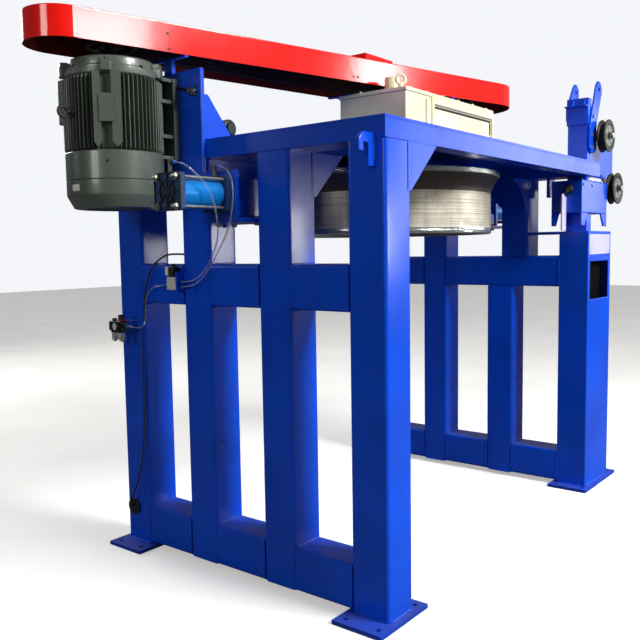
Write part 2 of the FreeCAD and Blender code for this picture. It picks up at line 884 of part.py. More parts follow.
# ---------------------------------------------------------------- motor
def motor():
    x, y = MOTOR_X, "motor_y"
    slab = box(
        "motor_plate_box",
        f"-{HALF} - motor_plate",
        "plate_front",
        "plate_low",
        "motor_plate",
        f"{BACK} - plate_front",
        "plate_high - plate_low",
    )
    braces = []
    for i, at in enumerate(("plate_front + gusset_plate", BACK)):
        shape = [("0", "0"), ("brace_long", "0"), ("0.12 * brace_long", "brace_tall"), ("0", "brace_tall")]
        braces.append(plate(f"motor_brace_{i}", "XZ_Plane", shape, "gusset_plate", f"-{HALF}", at, "deck_top"))
    node(join("motor_plate_solid", [slab] + braces), "motor_plate")

    body_low = "(motor_low + cowl_tall)"
    body_tall = "(motor_top - shield_tall - motor_low - cowl_tall)"
    node(rod("motor_body_solid", "z", x, y, body_low, "motor_radius", body_tall), "motor_body")
    cowl = [
        ("0", "0"),
        ("motor_radius - 30", "0"),
        ("motor_radius + 10", "0.2 * cowl_tall"),
        ("motor_radius + 10", "cowl_tall"),
        ("0", "cowl_tall"),
    ]
    node(turned("motor_cowl_solid", cowl, x, y, "motor_low"), "motor_fan_cowl")
    shield = [
        ("0", "0"),
        ("motor_radius - 2", "0"),
        ("motor_radius - 2", "0.5 * shield_tall"),
        ("motor_radius - 60", "shield_tall"),
        ("0", "shield_tall"),
    ]
    node(turned("motor_shield_solid", shield, x, y, "motor_top - shield_tall"), "motor_end_shield")
    body_bore = rod("motor_foot_bore", "z", x, y, body_low, "motor_radius", body_tall)
    feet = []
    for i, side in enumerate((-1, 1)):
        edge = "100" if side > 0 else "-200"
        feet.append(
            box(
                f"motor_foot_pad_{i}",
                f"-{HALF} - motor_plate - foot_pad",
                f"{y} + {edge}",
                f"{body_low} + foot_start",
                "foot_pad",
                "100",
                "foot_tall",
            )
        )
        for j, up in enumerate(("0", "0.26 * foot_tall", "0.69 * foot_tall", "foot_tall - foot_web")):
            feet.append(
                box(
                    f"motor_foot_web_{i}{j}",
                    f"{x} + 100",
                    f"{y} + {edge} + 10",
                    f"{body_low} + foot_start + {up}",
                    "motor_height - 110",
                    "80",
                    "foot_web",
                )
            )
    node(cut("motor_feet_cut", join("motor_feet_solid", feet), [body_bore]), "motor_feet")
    bore = rod("motor_box_bore", "z", x, y, body_low, "motor_radius", f"{body_tall} + shield_tall")
    case = box("terminal_case", f"{x} - 95", f"{y} + 150", "motor_low + 440", "190", "180", "225")
    node(cut("terminal_cut", case, [bore]), "motor_terminal_box")


# ---------------------------------------------------------------- press rollers
def press(side):
    """The cylinder, shelf, fork and roller on one side; the far side mirrors the near."""
    near = side == "near"

    def slab(name, x, y, z, long, deep, tall):
        at = x if near else f"frame_spacing - ({x}) - ({long})"
        return box(f"{side}_{name}", at, y, z, long, deep, tall)

    def bar(name, x, y, z, radius, long):
        at = x if near else f"frame_spacing - ({x}) - ({long})"
        return rod(f"{side}_{name}", "x", at, y, z, radius, long)

    def pole(name, x, y, z, radius, long):
        at = x if near else f"frame_spacing - ({x})"
        return rod(f"{side}_{name}", "z", at, y, z, radius, long)

    rear = f"(-{HALF} - press_out)"
    barrel = f"({rear} + cap_thick)"
    flange = f"(-{HALF} - flange_out)"
    front = f"({flange} - cap_thick)"
    barrel_long = f"({front} - {barrel})"
    y_low = f"{DRUM_Y} - cap_square / 2"
    z_low = "press_z - cap_square / 2"

    rear_cap = slab("rear_cap", rear, y_low, z_low, "cap_thick", "cap_square", "cap_square")
    tube = bar("barrel_tube", barrel, DRUM_Y, "press_z", "barrel_radius", barrel_long)
    hollow = bar(
        "barrel_hollow", f"{barrel} - 1", DRUM_Y, "press_z", "barrel_radius - barrel_wall", f"{barrel_long} + 2"
    )
    rods = []
    for i, across in enumerate((-1, 1)):
        for j, up in enumerate((-1, 1)):
            rods.append(
                bar(
                    f"tie_{i}{j}",
                    barrel,
                    f"{DRUM_Y} + {across} * tie_rod_at",
                    f"press_z + {up} * tie_rod_at",
                    "tie_rod",
                    barrel_long,
                )
            )
    node(cut(f"{side}_barrel_cut", tube, [hollow]), f"{side}_cylinder_barrel")

    cap = slab("front_cap", front, y_low, z_low, "cap_thick", "cap_square", "cap_square")
    bore = bar("front_bore", f"{front} - 5", DRUM_Y, "press_z", "rod_radius + rod_gap", "press_out")
    ends = join(f"{side}_ends_solid", [rear_cap, cap] + rods)
    node(cut(f"{side}_ends_cut", ends, [bore]), f"{side}_cylinder_ends")

    shelf_top = "(shelf_low + shelf_thick)"
    wide = slab(
        "shelf", flange, f"{DRUM_Y} - {GAP} / 2", "shelf_low", f"{HALF} - ({flange})", GAP, "shelf_thick"
    )
    tongue = slab("tongue", HALF, f"{DRUM_Y} - 70", "shelf_low", "shelf_in", "140", "shelf_thick")
    back = slab(
        "flange",
        flange,
        f"{DRUM_Y} - flange_square / 2",
        shelf_top,
        "flange_thick",
        "flange_square",
        f"press_z + flange_square / 2 - {shelf_top}",
    )
    rib = slab("rib", f"{flange} + flange_thick", f"{DRUM_Y} - 100", shelf_top, "70", "12", "90")
    rib_b = slab("rib_b", f"{flange} + flange_thick", f"{DRUM_Y} + 88", shelf_top, "70", "12", "90")
    near_wall = slab(
        "guide_near_wall",
        f"{flange} + flange_thick",
        f"{DRUM_Y} - guide_half",
        shelf_top,
        "guide_long",
        "guide_wall",
        f"press_z + guide_rise - {shelf_top}",
    )
    back_wall = slab(
        "guide_back_wall",
        f"{flange} + flange_thick",
        f"{DRUM_Y} + guide_half - guide_wall",
        shelf_top,
        "guide_long",
        "guide_wall",
        f"press_z + guide_rise - {shelf_top}",
    )
    roof = slab(
        "guide_roof",
        f"{flange} + flange_thick",
        f"{DRUM_Y} - guide_half",
        "press_z + guide_rise - guide_wall",
        "guide_long",
        "2 * guide_half",
        "guide_wall",
    )
    hole = bar("flange_bore", f"{flange} - 5", DRUM_Y, "press_z", "rod_radius + rod_gap", "50")
    node(
        cut(f"{side}_bracket_cut", join(f"{side}_bracket_solid", [wide, tongue, back, rib, rib_b, near_wall, back_wall, roof]), [hole]),
        f"{side}_press_bracket",
    )

    # What the cylinder moves: piston, rod and a fork that holds the roller.
    roller_x = f"({DRUM_X} - {DRUM_R} - roller_radius - roller_rest)"
    back_x = f"({roller_x} - roller_radius - fork_gap - fork_plate)"
    arm_low = "(press_z - roller_tall / 2 - fork_gap - fork_plate)"
    arm_high = "(press_z + roller_tall / 2 + fork_gap)"
    piston = bar(
        "piston", f"{barrel} + 6", DRUM_Y, "press_z", "barrel_radius - barrel_wall - piston_gap", "24"
    )
    stem = bar("stem", f"{barrel} + 30", DRUM_Y, "press_z", "rod_radius", f"{back_x} - {barrel} - 30")
    plate_back = slab(
        "fork_back", back_x, f"{DRUM_Y} - 50", arm_low, "fork_plate", "100", f"{arm_high} + fork_plate - {arm_low}"
    )
    arms = []
    for name, low in (("arm_low", arm_low), ("arm_high", arm_high)):
        arms.append(slab(name, back_x, f"{DRUM_Y} - 50", low, f"{roller_x} + 25 - {back_x}", "100", "fork_plate"))
    pin = pole("pin", roller_x, DRUM_Y, f"{arm_low} + fork_plate", "18", f"{arm_high} - {arm_low} - fork_plate")
    node(join(f"{side}_fork_solid", [piston, stem, plate_back, pin] + arms), f"{side}_press_fork")
    wheel = pole("roller", roller_x, DRUM_Y, "press_z - roller_tall / 2", "roller_radius", "roller_tall")
    eye = pole(
        "roller_eye", roller_x, DRUM_Y, "press_z - roller_tall", "18.08", "2 * roller_tall"
    )
    node(cut(f"{side}_roller_cut", wheel, [eye]), f"{side}_press_roller")


# ---------------------------------------------------------------- die box
def die_box():
    outer = box("die_outer", "die_left", "die_front", "die_low", "die_long", "die_deep", "die_tall")
    inner = box(
        "die_inner",
        "die_left + die_wall",
        "die_front + die_wall",
        "die_low + die_wall",
        "0.46 * die_long - die_wall",
        "die_deep - 2 * die_wall",
        "die_tall",
    )
    node(cut("die_box_cut", outer, [inner]), "die_box")
    feet = []
    top = "die_low"
    foot_tall = "(die_low - wide_leg_top - 36)"
    for i, (x, lean) in enumerate((("die_left", 1), ("die_left + die_long", -1))):
        shape = [
            ("0", "0"),
            (f"{lean} * 120", "0"),
            (f"{lean} * 62", f"-{foot_tall}"),
            ("0", f"-{foot_tall}"),
        ]
        for j, y in enumerate(("die_front + die_wall", "die_front + die_deep")):
            feet.append(plate(f"die_foot_{i}{j}", "XZ_Plane", shape, "die_wall", x, y, top))
    middle = "(die_left + 0.45 * die_long)"
    block = box(
        "die_block", f"{middle} - 45", "die_front + 30", "wide_leg_top", "90", "die_deep - 60", "die_low - wide_leg_top"
    )
    node(group("die_feet", feet + [block]), "die_box_feet")
    bar = box("clamp_bar_box", "die_left - 70", "43", "wide_leg_top + 5", "70", "12", "die_low + 122 - wide_leg_top - 5")
    bolt = join(
        "clamp_screw_solid",
        [
            rod("clamp_washer", "x", "die_left - 14", "20", "die_low + 155", "26", "14"),
            rod("clamp_nut", "x", "die_left - 44", "20", "die_low + 155", "17", "30"),
        ],
    )
    node(group("die_clamp_group", [bar, bolt]), "die_clamp")


# ---------------------------------------------------------------- wire guide
def guide():
    die_top = "(die_low + die_tall)"
    column = box(
        "column_box", "column_left", "column_front", die_top, "column_thick", "column_deep", f"column_top - 8 - {die_top}"
    )
    link = box(
        "column_link_box",
        FAR_OUT,
        "column_front + 20",
        f"{BEAM_LOW} + 5",
        f"column_left - {FAR_OUT}",
        "column_deep - 40",
        "deck_band - 10",
    )
    node(join("column_solid", [column, link]), "guide_column")
    head_outer = box(
        "head_outer",
        "column_left - head_wall",
        "column_front - head_wall",
        "head_low",
        "column_thick + 2 * head_wall",
        "column_deep + 2 * head_wall",
        "column_top - head_low",
    )
    head_inner = box(
        "head_inner",
        "column_left",
        "column_front",
        "head_low - 10",
        "column_thick",
        "column_deep",
        "column_top - 8 - head_low + 10",
    )
    shelf = [
        box(
            "head_shelf",
            "column_left - head_wall - 48",
            "column_front - head_wall",
            "column_top - 62",
            "48",
            "column_deep + 2 * head_wall",
            "10",
        )
    ]
    for i, y in enumerate(("column_front + 22", "column_front + 100")):
        shelf.append(
            plate(
                f"head_rib_{i}",
                "XZ_Plane",
                [("0", "0"), ("-36", "0"), ("0", "44")],
                "8",
                "column_left - head_wall",
                y,
                "column_top - 52",
            )
        )
    head = cut("head_cut", head_outer, [head_inner])
    node(join("guide_head_solid", [head] + shelf), "guide_head")

    # Two ears lean out over the wire path; the front one runs down as a long arm.
    thick = "guide_plate"
    lean = "(ear_x - column_left - column_thick)"
    ear = [
        ("0", "0"),
        ("70", "-20"),
        (f"{lean} + ear_radius", "ear_z - head_low - 20"),
        (f"{lean} + ear_radius", "ear_z - head_low + 20"),
        (f"{lean} + 18", "ear_z - head_low + ear_radius"),
        (f"{lean} - 18", "ear_z - head_low + ear_radius"),
        (f"{lean} - ear_radius", "ear_z - head_low + 20"),
        ("-40", "column_top - head_low - 60"),
        ("-40", "40"),
    ]
    rear_plate = plate(
        "ear_rear_plate",
        "XZ_Plane",
        ear,
        thick,
        "column_left + column_thick",
        "column_front + column_deep + head_wall + guide_plate",
        "head_low",
    )
    rear_hole = rod("ear_rear_hole", "y", "ear_x", "column_deep - 20", "ear_z", "ear_hole", "80")
    rear_ear = cut("ear_rear_cut", rear_plate, [rear_hole])
    arm_low = "(head_low - 190)"
    arm = [
        ("-50", "30"),
        ("-26", "0"),
        ("56", "0"),
        ("80", "30"),
        ("80", f"head_low - {arm_low}"),
        (f"{lean} + ear_radius", f"ear_z - {arm_low} - 20"),
        (f"{lean} + ear_radius", f"ear_z - {arm_low} + 20"),
        (f"{lean} + 18", f"ear_z - {arm_low} + ear_radius"),
        (f"{lean} - 18", f"ear_z - {arm_low} + ear_radius"),
        (f"{lean} - ear_radius", f"ear_z - {arm_low} + 20"),
        ("-50", f"head_low - {arm_low} - 20"),
    ]
    arm_plate = plate(
        "arm_plate",
        "XZ_Plane",
        arm,
        thick,
        "column_left + column_thick",
        "column_front - head_wall",
        arm_low,
    )
    arm_hole = rod("arm_hole", "y", "ear_x", "column_front - 60", "ear_z", "ear_hole", "80")
    node(group("guide_ear_pair", [rear_ear, cut("arm_cut", arm_plate, [arm_hole])]), "guide_ears")

    # The plate that carries both wheels, with a lug down to the lower axle.
    left = "(column_left + column_thick)"
    lug = f"lower_x - {left}"
    face = [
        ("0", "0"),
        (f"{lug} - lug_wide / 2", "0"),
        (f"{lug} - lug_wide / 2", "lower_z - carrier_low - lug_wide / 2"),
        (f"{lug} + lug_wide / 2", "lower_z - carrier_low - lug_wide / 2"),
        (f"{lug} + lug_wide / 2", "0"),
        ("carrier_long", "0"),
        ("carrier_long", "carrier_high - carrier_low"),
        ("0", "carrier_high - carrier_low"),
    ]
    carrier = plate(
        "wheel_plate_body", "XZ_Plane", face, thick, left, "column_front + guide_plate", "carrier_low"
    )
    node(carrier, "wheel_plate")
    shape = [
        ("axle_radius + 0.08", "-wheel_wide / 2"),
        ("wheel_radius", "-wheel_wide / 2"),
        ("wheel_radius", "-0.3 * wheel_wide"),
        ("wheel_groove", "-0.08 * wheel_wide"),
        ("wheel_groove", "0.08 * wheel_wide"),
        ("wheel_radius", "0.3 * wheel_wide"),
        ("wheel_radius", "wheel_wide / 2"),
        ("axle_radius + 0.08", "wheel_wide / 2"),
    ]
    axles = []
    for name, x, z in (("upper", "upper_x", "upper_z"), ("lower", "lower_x", "lower_z")):
        node(turned(f"{name}_wheel_body", shape, x, "wheel_y", z, "y"), f"{name}_guide_wheel")
        front = "(wheel_y - wheel_wide / 2 - 26)"
        axle = rod(f"{name}_axle_rod", "y", x, front, z, "axle_radius", f"column_front - {front}")
        nut = rod(f"{name}_axle_nut", "y", x, front, z, "22", "20")
        collar_at = "(wheel_y + wheel_wide / 2 + run_gap)"
        collar = rod(f"{name}_axle_collar", "y", x, collar_at, z, "26", f"column_front - {collar_at}")
        axles.append(join(f"{name}_axle_solid", [axle, nut, collar]))
    node(group("axle_group", axles), "guide_wheel_axles")


# ---------------------------------------------------------------- air and power
def fittings():
    outer = f"-{HALF}"
    # The air valve and its coil on a bracket on the near middle rail.
    block = box("valve_block", f"{outer} - 56", "valve_front", "valve_low", "44", "72", "66")
    coil = rod("valve_coil_body", "z", f"{outer} - 34", "valve_front + 40", "valve_low + 66", "21", "70")
    plug = box("valve_plug", f"{outer} - 56", "valve_front + 61", "valve_low + 74", "44", "26", "48")
    node(join("valve_solid", [block, coil, plug]), "air_valve")
    valve_bracket = join(
        "valve_bracket_solid",
        [
            box("bracket_face", f"{outer} - 6", "valve_front - 92", "valve_low - 13", "6", "110", "104"),
            box("bracket_arm", f"{outer} - 60", "valve_front - 12", "valve_low - 13", "60", "12", "104"),
        ],
    )

    # The filter, regulator and lubricator on the near rear leg.
    x, z = f"{outer} - 98", "unit_z"
    first, second = "unit_front", "(unit_front + 60)"
    blocks = []
    bowls = []
    for i, y in enumerate((first, second)):
        blocks.append(box(f"frl_block_{i}", f"{x} - 24", f"{y} - 24", z, "48", "48" if i else "60", "54"))
        bowls.append(rod(f"frl_bowl_{i}", "z", x, y, f"{z} - 62", "19", "62"))
    blocks.append(rod("frl_knob", "z", x, first, f"{z} + 54", "18", "34"))
    blocks.append(rod("frl_cap", "z", x, second, f"{z} + 54", "14", "14"))
    blocks.append(rod("gauge_disc", "x", f"{x} - 50", first, f"{z} + 27", "22", "26"))
    node(join("frl_solid", blocks), "air_service_unit")
    node(group("frl_bowls", bowls), "air_bowls")
    arm = join(
        "frl_arm_solid",
        [
            box("frl_arm", f"{x} + 24", f"{first} + 10", f"{z} + 8", "74", "40", "8"),
            box("frl_arm_foot", f"{outer} - 6", f"{first} - 6", f"{z} - 20", "6", "72", "70"),
        ],
    )
    node(group("air_bracket_pair", [valve_bracket, arm]), "air_brackets")
    bushings = [
        rod("grommet_ring", "x", f"{outer} - 14", f"{first} + 64", "217", "46", "14"),
        rod("gland_body", "y", "-40", f"2 * stile_pitch + {HALF}", "mid_rail_top + 51", "14", "26"),
    ]

    # Each cylinder port is a stem with an elbow that points to the front.
    ports = []
    cap_top = "press_z + cap_square / 2"
    seats = (
        ("rear", f"{outer} - press_out + cap_thick / 2"),
        ("front", f"{outer} - flange_out - cap_thick / 2"),
    )
    for name, at in seats:
        stem = rod(f"port_stem_{name}", "z", at, DRUM_Y, cap_top, "port_radius", "port_tall")
        elbow = rod(
            f"port_elbow_{name}",
            "y",
            at,
            f"{DRUM_Y} - port_reach",
            f"{cap_top} + port_tall - port_radius",
            "port_radius",
            "port_reach",
        )
        ports.append(join(f"port_{name}", [stem, elbow]))
    ports += [
        rod("port_valve_a", "y", f"{outer} - 34", "valve_front - 24", "valve_low + 42", "9", "12"),
        rod("port_valve_b", "y", f"{outer} - 34", "valve_front - 24", "valve_low + 16", "9", "12"),
        rod("port_valve_c", "y", f"{outer} - 34", "valve_front + 72", "valve_low + 24", "9", "16"),
        rod("port_frl", "y", x, f"{first} - 42", f"{z} + 27", "9", "18"),
    ]
    node(group("port_group", ports + bushings), "air_fittings")
    pump = [
        rod("pump_body", "y", "265", "plate_front + 175", "deck_top + 112", "50", "140"),
        box("pump_foot", "225", "plate_front + 195", "deck_top", "80", "100", "75"),
    ]
    node(join("deck_pump_solid", pump), "deck_pump")


def tube(points, radius):
    """A round cord along a route: straight runs with a tangent arc at each corner."""
    spots = [FreeCAD.Vector(*point) for point in points]
    edges = []
    last = spots[0]
    for before, corner, after in zip(spots, spots[1:], spots[2:]):
        back = (before - corner).normalize()
        ahead = (after - corner).normalize()
        reach = 0.45 * min((before - corner).Length, (after - corner).Length)
        turn = math.pi - back.getAngle(ahead)
        arc_radius = reach / math.tan(turn / 2)
        start = corner + back * reach
        end = corner + ahead * reach
        bisector = (back + ahead).normalize()
        centre = corner + bisector * math.hypot(arc_radius, reach)
        middle = centre - bisector * arc_radius
        edges.append(Part.LineSegment(last, start).toShape())
        edges.append(Part.Arc(start, middle, end).toShape())
        last = end
    edges.append(Part.LineSegment(last, spots[-1]).toShape())
    path = Part.Wire(edges)
    circle = Part.Circle(spots[0], spots[1] - spots[0], radius)
    section = Part.Wire([circle.toShape()])
    return path.makePipeShell([section], True, False)


# The air tubes and the motor's cable, each as its radius and its route.
CORDS = {
    "air_tube_rear": (
        4.0,
        [
            (-483, 772.5, 2062),
            (-480, 722, 2058),
            (-432, 693, 2016),
            (-364, 689, 1958),
            (-318, 691, 1880),
            (-298, 697, 1795),
            (-262, 732, 1730),
            (-224, 795, 1672),
            (-190, 860, 1624),
            (-160, 932, 1572),
            (-148, 1010, 1526),
            (-135, 1084, 1509),
            (-134, 1136, 1508),
        ],
    ),
    "air_tube_front": (
        4.0,
        [
            (-210, 772.5, 2062),
            (-209, 724, 2056),
            (-206, 688, 2004),
            (-214, 672, 1930),
            (-228, 670, 1850),
            (-231, 688, 1780),
            (-212, 740, 1722),
            (-194, 803, 1664),
            (-168, 868, 1610),
            (-142, 945, 1558),
            (-130, 1015, 1508),
            (-133, 1082, 1484),
            (-134, 1136, 1482),
        ],
    ),
    "air_tube_supply": (
        4.0,
        [
            (-134, 1248, 1490),
            (-134, 1300, 1489),
            (-131, 1352, 1483),
            (-120, 1412, 1460),
            (-111, 1462, 1412),
            (-111, 1474, 1345),
            (-124, 1450, 1286),
            (-168, 1438, 1257),
            (-197, 1470, 1260),
            (-198, 1524, 1265),
        ],
    ),
    "power_cable": (
        5.0,
        [
            (-40, 1192, 1648),
            (-42, 1250, 1651),
            (-76, 1312, 1651),
            (-112, 1362, 1614),
            (-125, 1402, 1562),
            (-129, 1432, 1495),
            (-128, 1452, 1415),
            (-126, 1464, 1325),
            (-121, 1482, 1210),
            (-117, 1492, 1085),
            (-115, 1501, 955),
            (-115, 1504, 820),
            (-117, 1507, 690),
            (-119, 1516, 570),
            (-124, 1540, 455),
            (-131, 1573, 350),
            (-158, 1602, 268),
            (-117, 1628, 221),
        ],
    ),
}


def cords():
    for name, (radius, points) in CORDS.items():
        node(feature(name + "_solid", tube(points, radius)), name)


# ---------------------------------------------------------------- build and export
def main():
    side_frames()
    deck()
    gussets()
    hooks()
    drum()
    gearbox()
    belt_guard()
    motor()
    press("near")
    press("far")
    die_box()
    guide()
    fittings()
    cords()
    doc.recompute()
    broken = [obj.Name for obj in doc.Objects if "Invalid" in obj.State or "Error" in obj.State]
    if broken:
        raise RuntimeError(f"these objects didn't build: {broken}")
    for obj in NODES:
        if obj.Shape.isNull() or not obj.Shape.isValid() or not obj.Shape.Solids:
            raise RuntimeError(f"{obj.Label} isn't a valid solid")
        obj.Shape.exportStep(f"parts/{obj.Label}.step")
    print(len(NODES), "nodes")


if __name__ == "__main__":
    main()
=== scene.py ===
"""Visible surfaces of an inverted vertical wire drawing machine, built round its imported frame."""

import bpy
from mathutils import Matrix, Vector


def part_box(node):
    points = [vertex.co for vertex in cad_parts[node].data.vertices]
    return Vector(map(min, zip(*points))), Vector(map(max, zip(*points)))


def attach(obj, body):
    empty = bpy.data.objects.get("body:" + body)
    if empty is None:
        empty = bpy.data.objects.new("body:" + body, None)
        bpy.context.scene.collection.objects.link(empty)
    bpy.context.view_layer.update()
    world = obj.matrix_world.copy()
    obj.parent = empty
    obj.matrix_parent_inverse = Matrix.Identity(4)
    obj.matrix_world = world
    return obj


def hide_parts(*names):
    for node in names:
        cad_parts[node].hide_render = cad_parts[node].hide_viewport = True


bl_info = {
    "name": "Wire Drawing Machine",
    "version": (1, 0, 0),
    "blender": (4, 5, 0),
    "location": "View3D > Sidebar > Machine",
    "description": "Builds the visible surfaces of a wire drawing machine round its packed frame",
    "category": "Add Mesh",
}

import math

import bmesh
import bpy
import numpy as np
from mathutils import Matrix, Vector

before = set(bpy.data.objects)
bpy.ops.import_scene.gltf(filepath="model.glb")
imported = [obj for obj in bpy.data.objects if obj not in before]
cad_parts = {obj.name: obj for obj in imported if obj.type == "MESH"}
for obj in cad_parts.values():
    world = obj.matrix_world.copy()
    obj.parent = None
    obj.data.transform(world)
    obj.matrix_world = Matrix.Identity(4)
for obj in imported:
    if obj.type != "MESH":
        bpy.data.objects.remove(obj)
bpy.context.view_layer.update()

# Main places of the machine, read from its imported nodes, in metres.
POSTS_LOW, POSTS_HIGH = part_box("near_posts")
HALF = POSTS_HIGH.x
PITCH = (POSTS_HIGH.y - POSTS_LOW.y - 2 * HALF) / 3
FAR_LOW, FAR_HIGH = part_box("far_posts")
DRUM_LOW, DRUM_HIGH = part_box("drum")
DRUM_AT = ((DRUM_LOW.x + DRUM_HIGH.x) / 2, (DRUM_LOW.y + DRUM_HIGH.y) / 2)
CASE_LOW, CASE_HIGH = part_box("gearbox_case")
BODY_LOW, BODY_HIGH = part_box("motor_body")
MOTOR_AT = ((BODY_LOW.x + BODY_HIGH.x) / 2, (BODY_LOW.y + BODY_HIGH.y) / 2)


# ---------------------------------------------------------------- shapes
AXES = {"x": (1, 2, 0), "y": (0, 2, 1), "z": (0, 1, 2)}


def lay(axis, a, b, along):
    """Local columns on the row's axes: along follows the named axis, a and b span its section."""
    a, b, along = np.broadcast_arrays(a, b, along)
    out = np.empty(a.shape + (3,))
    for place, values in zip(AXES[axis], (a, b, along)):
        out[..., place] = values
    return out


def rounded(corners, radius, steps=4):
    """An outline whose corners are quadratic curves from radius before each corner to radius after it."""
    c = np.asarray(corners, float)
    back = np.roll(c, 1, 0) - c
    ahead = np.roll(c, -1, 0) - c
    reach = np.minimum(np.linalg.norm(back, axis=1), np.linalg.norm(ahead, axis=1)) * 0.49
    reach = np.minimum(reach, radius)[:, None]
    p = c + back / np.linalg.norm(back, axis=1, keepdims=True) * reach
    q = c + ahead / np.linalg.norm(ahead, axis=1, keepdims=True) * reach
    t = np.linspace(0, 1, steps)[None, :, None]
    curve = (1 - t) ** 2 * p[:, None] + 2 * t * (1 - t) * c[:, None] + t**2 * q[:, None]
    return curve.reshape(-1, 2)


def inset(outline, by):
    """Each point moves in along the bisector of its two edges, so that every edge moves by the same
    amount."""
    ahead = np.roll(outline, -1, 0) - outline
    ahead = ahead / np.maximum(np.linalg.norm(ahead, axis=1, keepdims=True), 1e-9)
    normal = ahead[:, ::-1] * (-1, 1)
    before = np.roll(normal, 1, 0)
    both = normal + before
    area = np.sum(outline[:, 0] * np.roll(outline[:, 1], -1) - np.roll(outline[:, 0], -1) * outline[:, 1])
    return outline + by * np.sign(area) * both / np.maximum((both * before).sum(1, keepdims=True), 0.4)


class Shape:
    """Surfaces gathered as arrays until they become one mesh."""

    def __init__(self):
        self.points, self.faces, self.count = [], [], 0

    def grid(self, points, wrap=True, caps=True):
        """Quads between the rows and columns of P(i, j). wrap joins the last column to the first."""
        rows, cols = points.shape[:2]
        index = np.arange(rows * cols).reshape(rows, cols) + self.count
        around = np.concatenate([index, index[:, :1]], 1) if wrap else index
        quads = np.stack([around[:-1, :-1], around[:-1, 1:], around[1:, 1:], around[1:, :-1]], -1)
        self.faces += quads.reshape(-1, 4).tolist()
        if caps:
            self.faces += [index[0, ::-1].tolist(), index[-1].tolist()]
        self.points.append(points.reshape(-1, 3))
        self.count += rows * cols
        return self

    def prism(self, outline, axis, low, high, edge=0.002):
        """An outline carried along an axis, drawn in by edge at both ends."""
        outline = np.asarray(outline, float)
        small = inset(outline, edge)
        section = np.stack([small, outline, outline, small])
        along = np.array([low, low + edge, high - edge, high])[:, None]
        return self.grid(lay(axis, section[..., 0], section[..., 1], along))

    def box(self, low, high, radius=0.003, axis="z", edge=None):
        """A box whose section across the axis has round corners."""
        i, j, k = AXES[axis]
        corners = [(low[i], low[j]), (high[i], low[j]), (high[i], high[j]), (low[i], high[j])]
        return self.prism(rounded(corners, radius), axis, low[k], high[k],
            min(radius, 0.003) if edge is None else edge)

    def lathe(self, profile, axis, at, steps=48, closed=False, turn=0.0):
        """A profile of (radius, along) pairs turned about an axis through the point at."""
        profile = np.asarray(profile, float)
        if closed:
            profile = np.concatenate([profile, profile[:1]])
        i, j, k = AXES[axis]
        angle = np.linspace(0, 2 * math.pi, steps, endpoint=False)[None] + turn
        radius, along = profile[:, :1], profile[:, 1:]
        grid = lay(axis, at[i] + radius * np.cos(angle), at[j] + radius * np.sin(angle), at[k] + along)
        return self.grid(grid, caps=not closed)

    def tube(self, points, radius, steps=8, closed=False):
        """A circle carried along a line, square to the line's direction at each point."""
        points = np.asarray(points, float)
        if closed:
            ahead = np.roll(points, -1, 0) - np.roll(points, 1, 0)
        else:
            ahead = np.gradient(points, axis=0)
        ahead /= np.linalg.norm(ahead, axis=1, keepdims=True)
        spare = np.eye(3)[np.argmin(np.abs(ahead).sum(0))]
        side = np.cross(ahead, spare)
        side /= np.linalg.norm(side, axis=1, keepdims=True)
        up = np.cross(side, ahead)
        angle = np.linspace(0, 2 * math.pi, steps, endpoint=False)[None, :, None]
        radius = np.broadcast_to(np.asarray(radius, float), len(points))[:, None, None]
        ring = points[:, None] + radius * (side[:, None] * np.cos(angle) + up[:, None] * np.sin(angle))
        if closed:
            ring = np.concatenate([ring, ring[:1]])
        return self.grid(ring, caps=not closed)

    def bolt(self, at, axis, sign=1, size=0.012, head=0.008, washer=True):
        """A hexagon head, half as wide as size, with a chamfered top, on a washer."""
        under = 0.0
        if washer:
            under = 0.0025 * sign
            self.lathe([(0, 0), (size * 1.25, 0), (size * 1.25, under), (0, under)], axis, at, 16)
        top = under + head * sign
        rim = under + head * 0.75 * sign
        return self.lathe([(0, under), (size, under), (size, rim), (size * 0.86, top), (0, top)], axis, at,
            6, turn=0.3)

    def bolts(self, places, axis, sign=1, size=0.012, head=0.008, washer=True):
        for at in places:
            self.bolt(at, axis, sign, size, head, washer)
        return self

    def weld(self, start, end, radius=0.005):
        """A bead whose radius ripples every 8 mm along a straight line."""
        start, end = np.asarray(start, float), np.asarray(end, float)
        length = np.linalg.norm(end - start)
        t = np.linspace(0, 1, max(4, int(length / 0.004)))[:, None]
        ripple = radius * (1 + 0.16 * np.sin(t[:, 0] * length / 0.008 * 2 * math.pi))
        return self.tube(start + (end - start) * t, ripple, 6)

    def ring(self, at, axis, radius, thick, steps=32):
        """A round bar bent into a ring about an axis."""
        angle = np.linspace(0, 2 * math.pi, 10, endpoint=False)
        profile = np.stack([radius + thick * np.cos(angle), thick * np.sin(angle)], 1)
        return self.lathe(profile, axis, at, steps, closed=True)


def settle(obj, material, body, instead, smooth=32):
    """Gives a finished mesh its shading, material, body and the nodes that it stands for."""
    mesh = obj.data
    mesh.materials.clear()
    mesh.materials.append(FINISHES[material])
    mesh.polygons.foreach_set("use_smooth", [True] * len(mesh.polygons))
    mesh.set_sharp_from_angle(angle=math.radians(smooth))
    even = obj.modifiers.new("Flat faces stay flat", "WEIGHTED_NORMAL")
    even.keep_sharp = True
    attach(obj, body)
    if instead:
        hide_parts(*instead)
    return obj


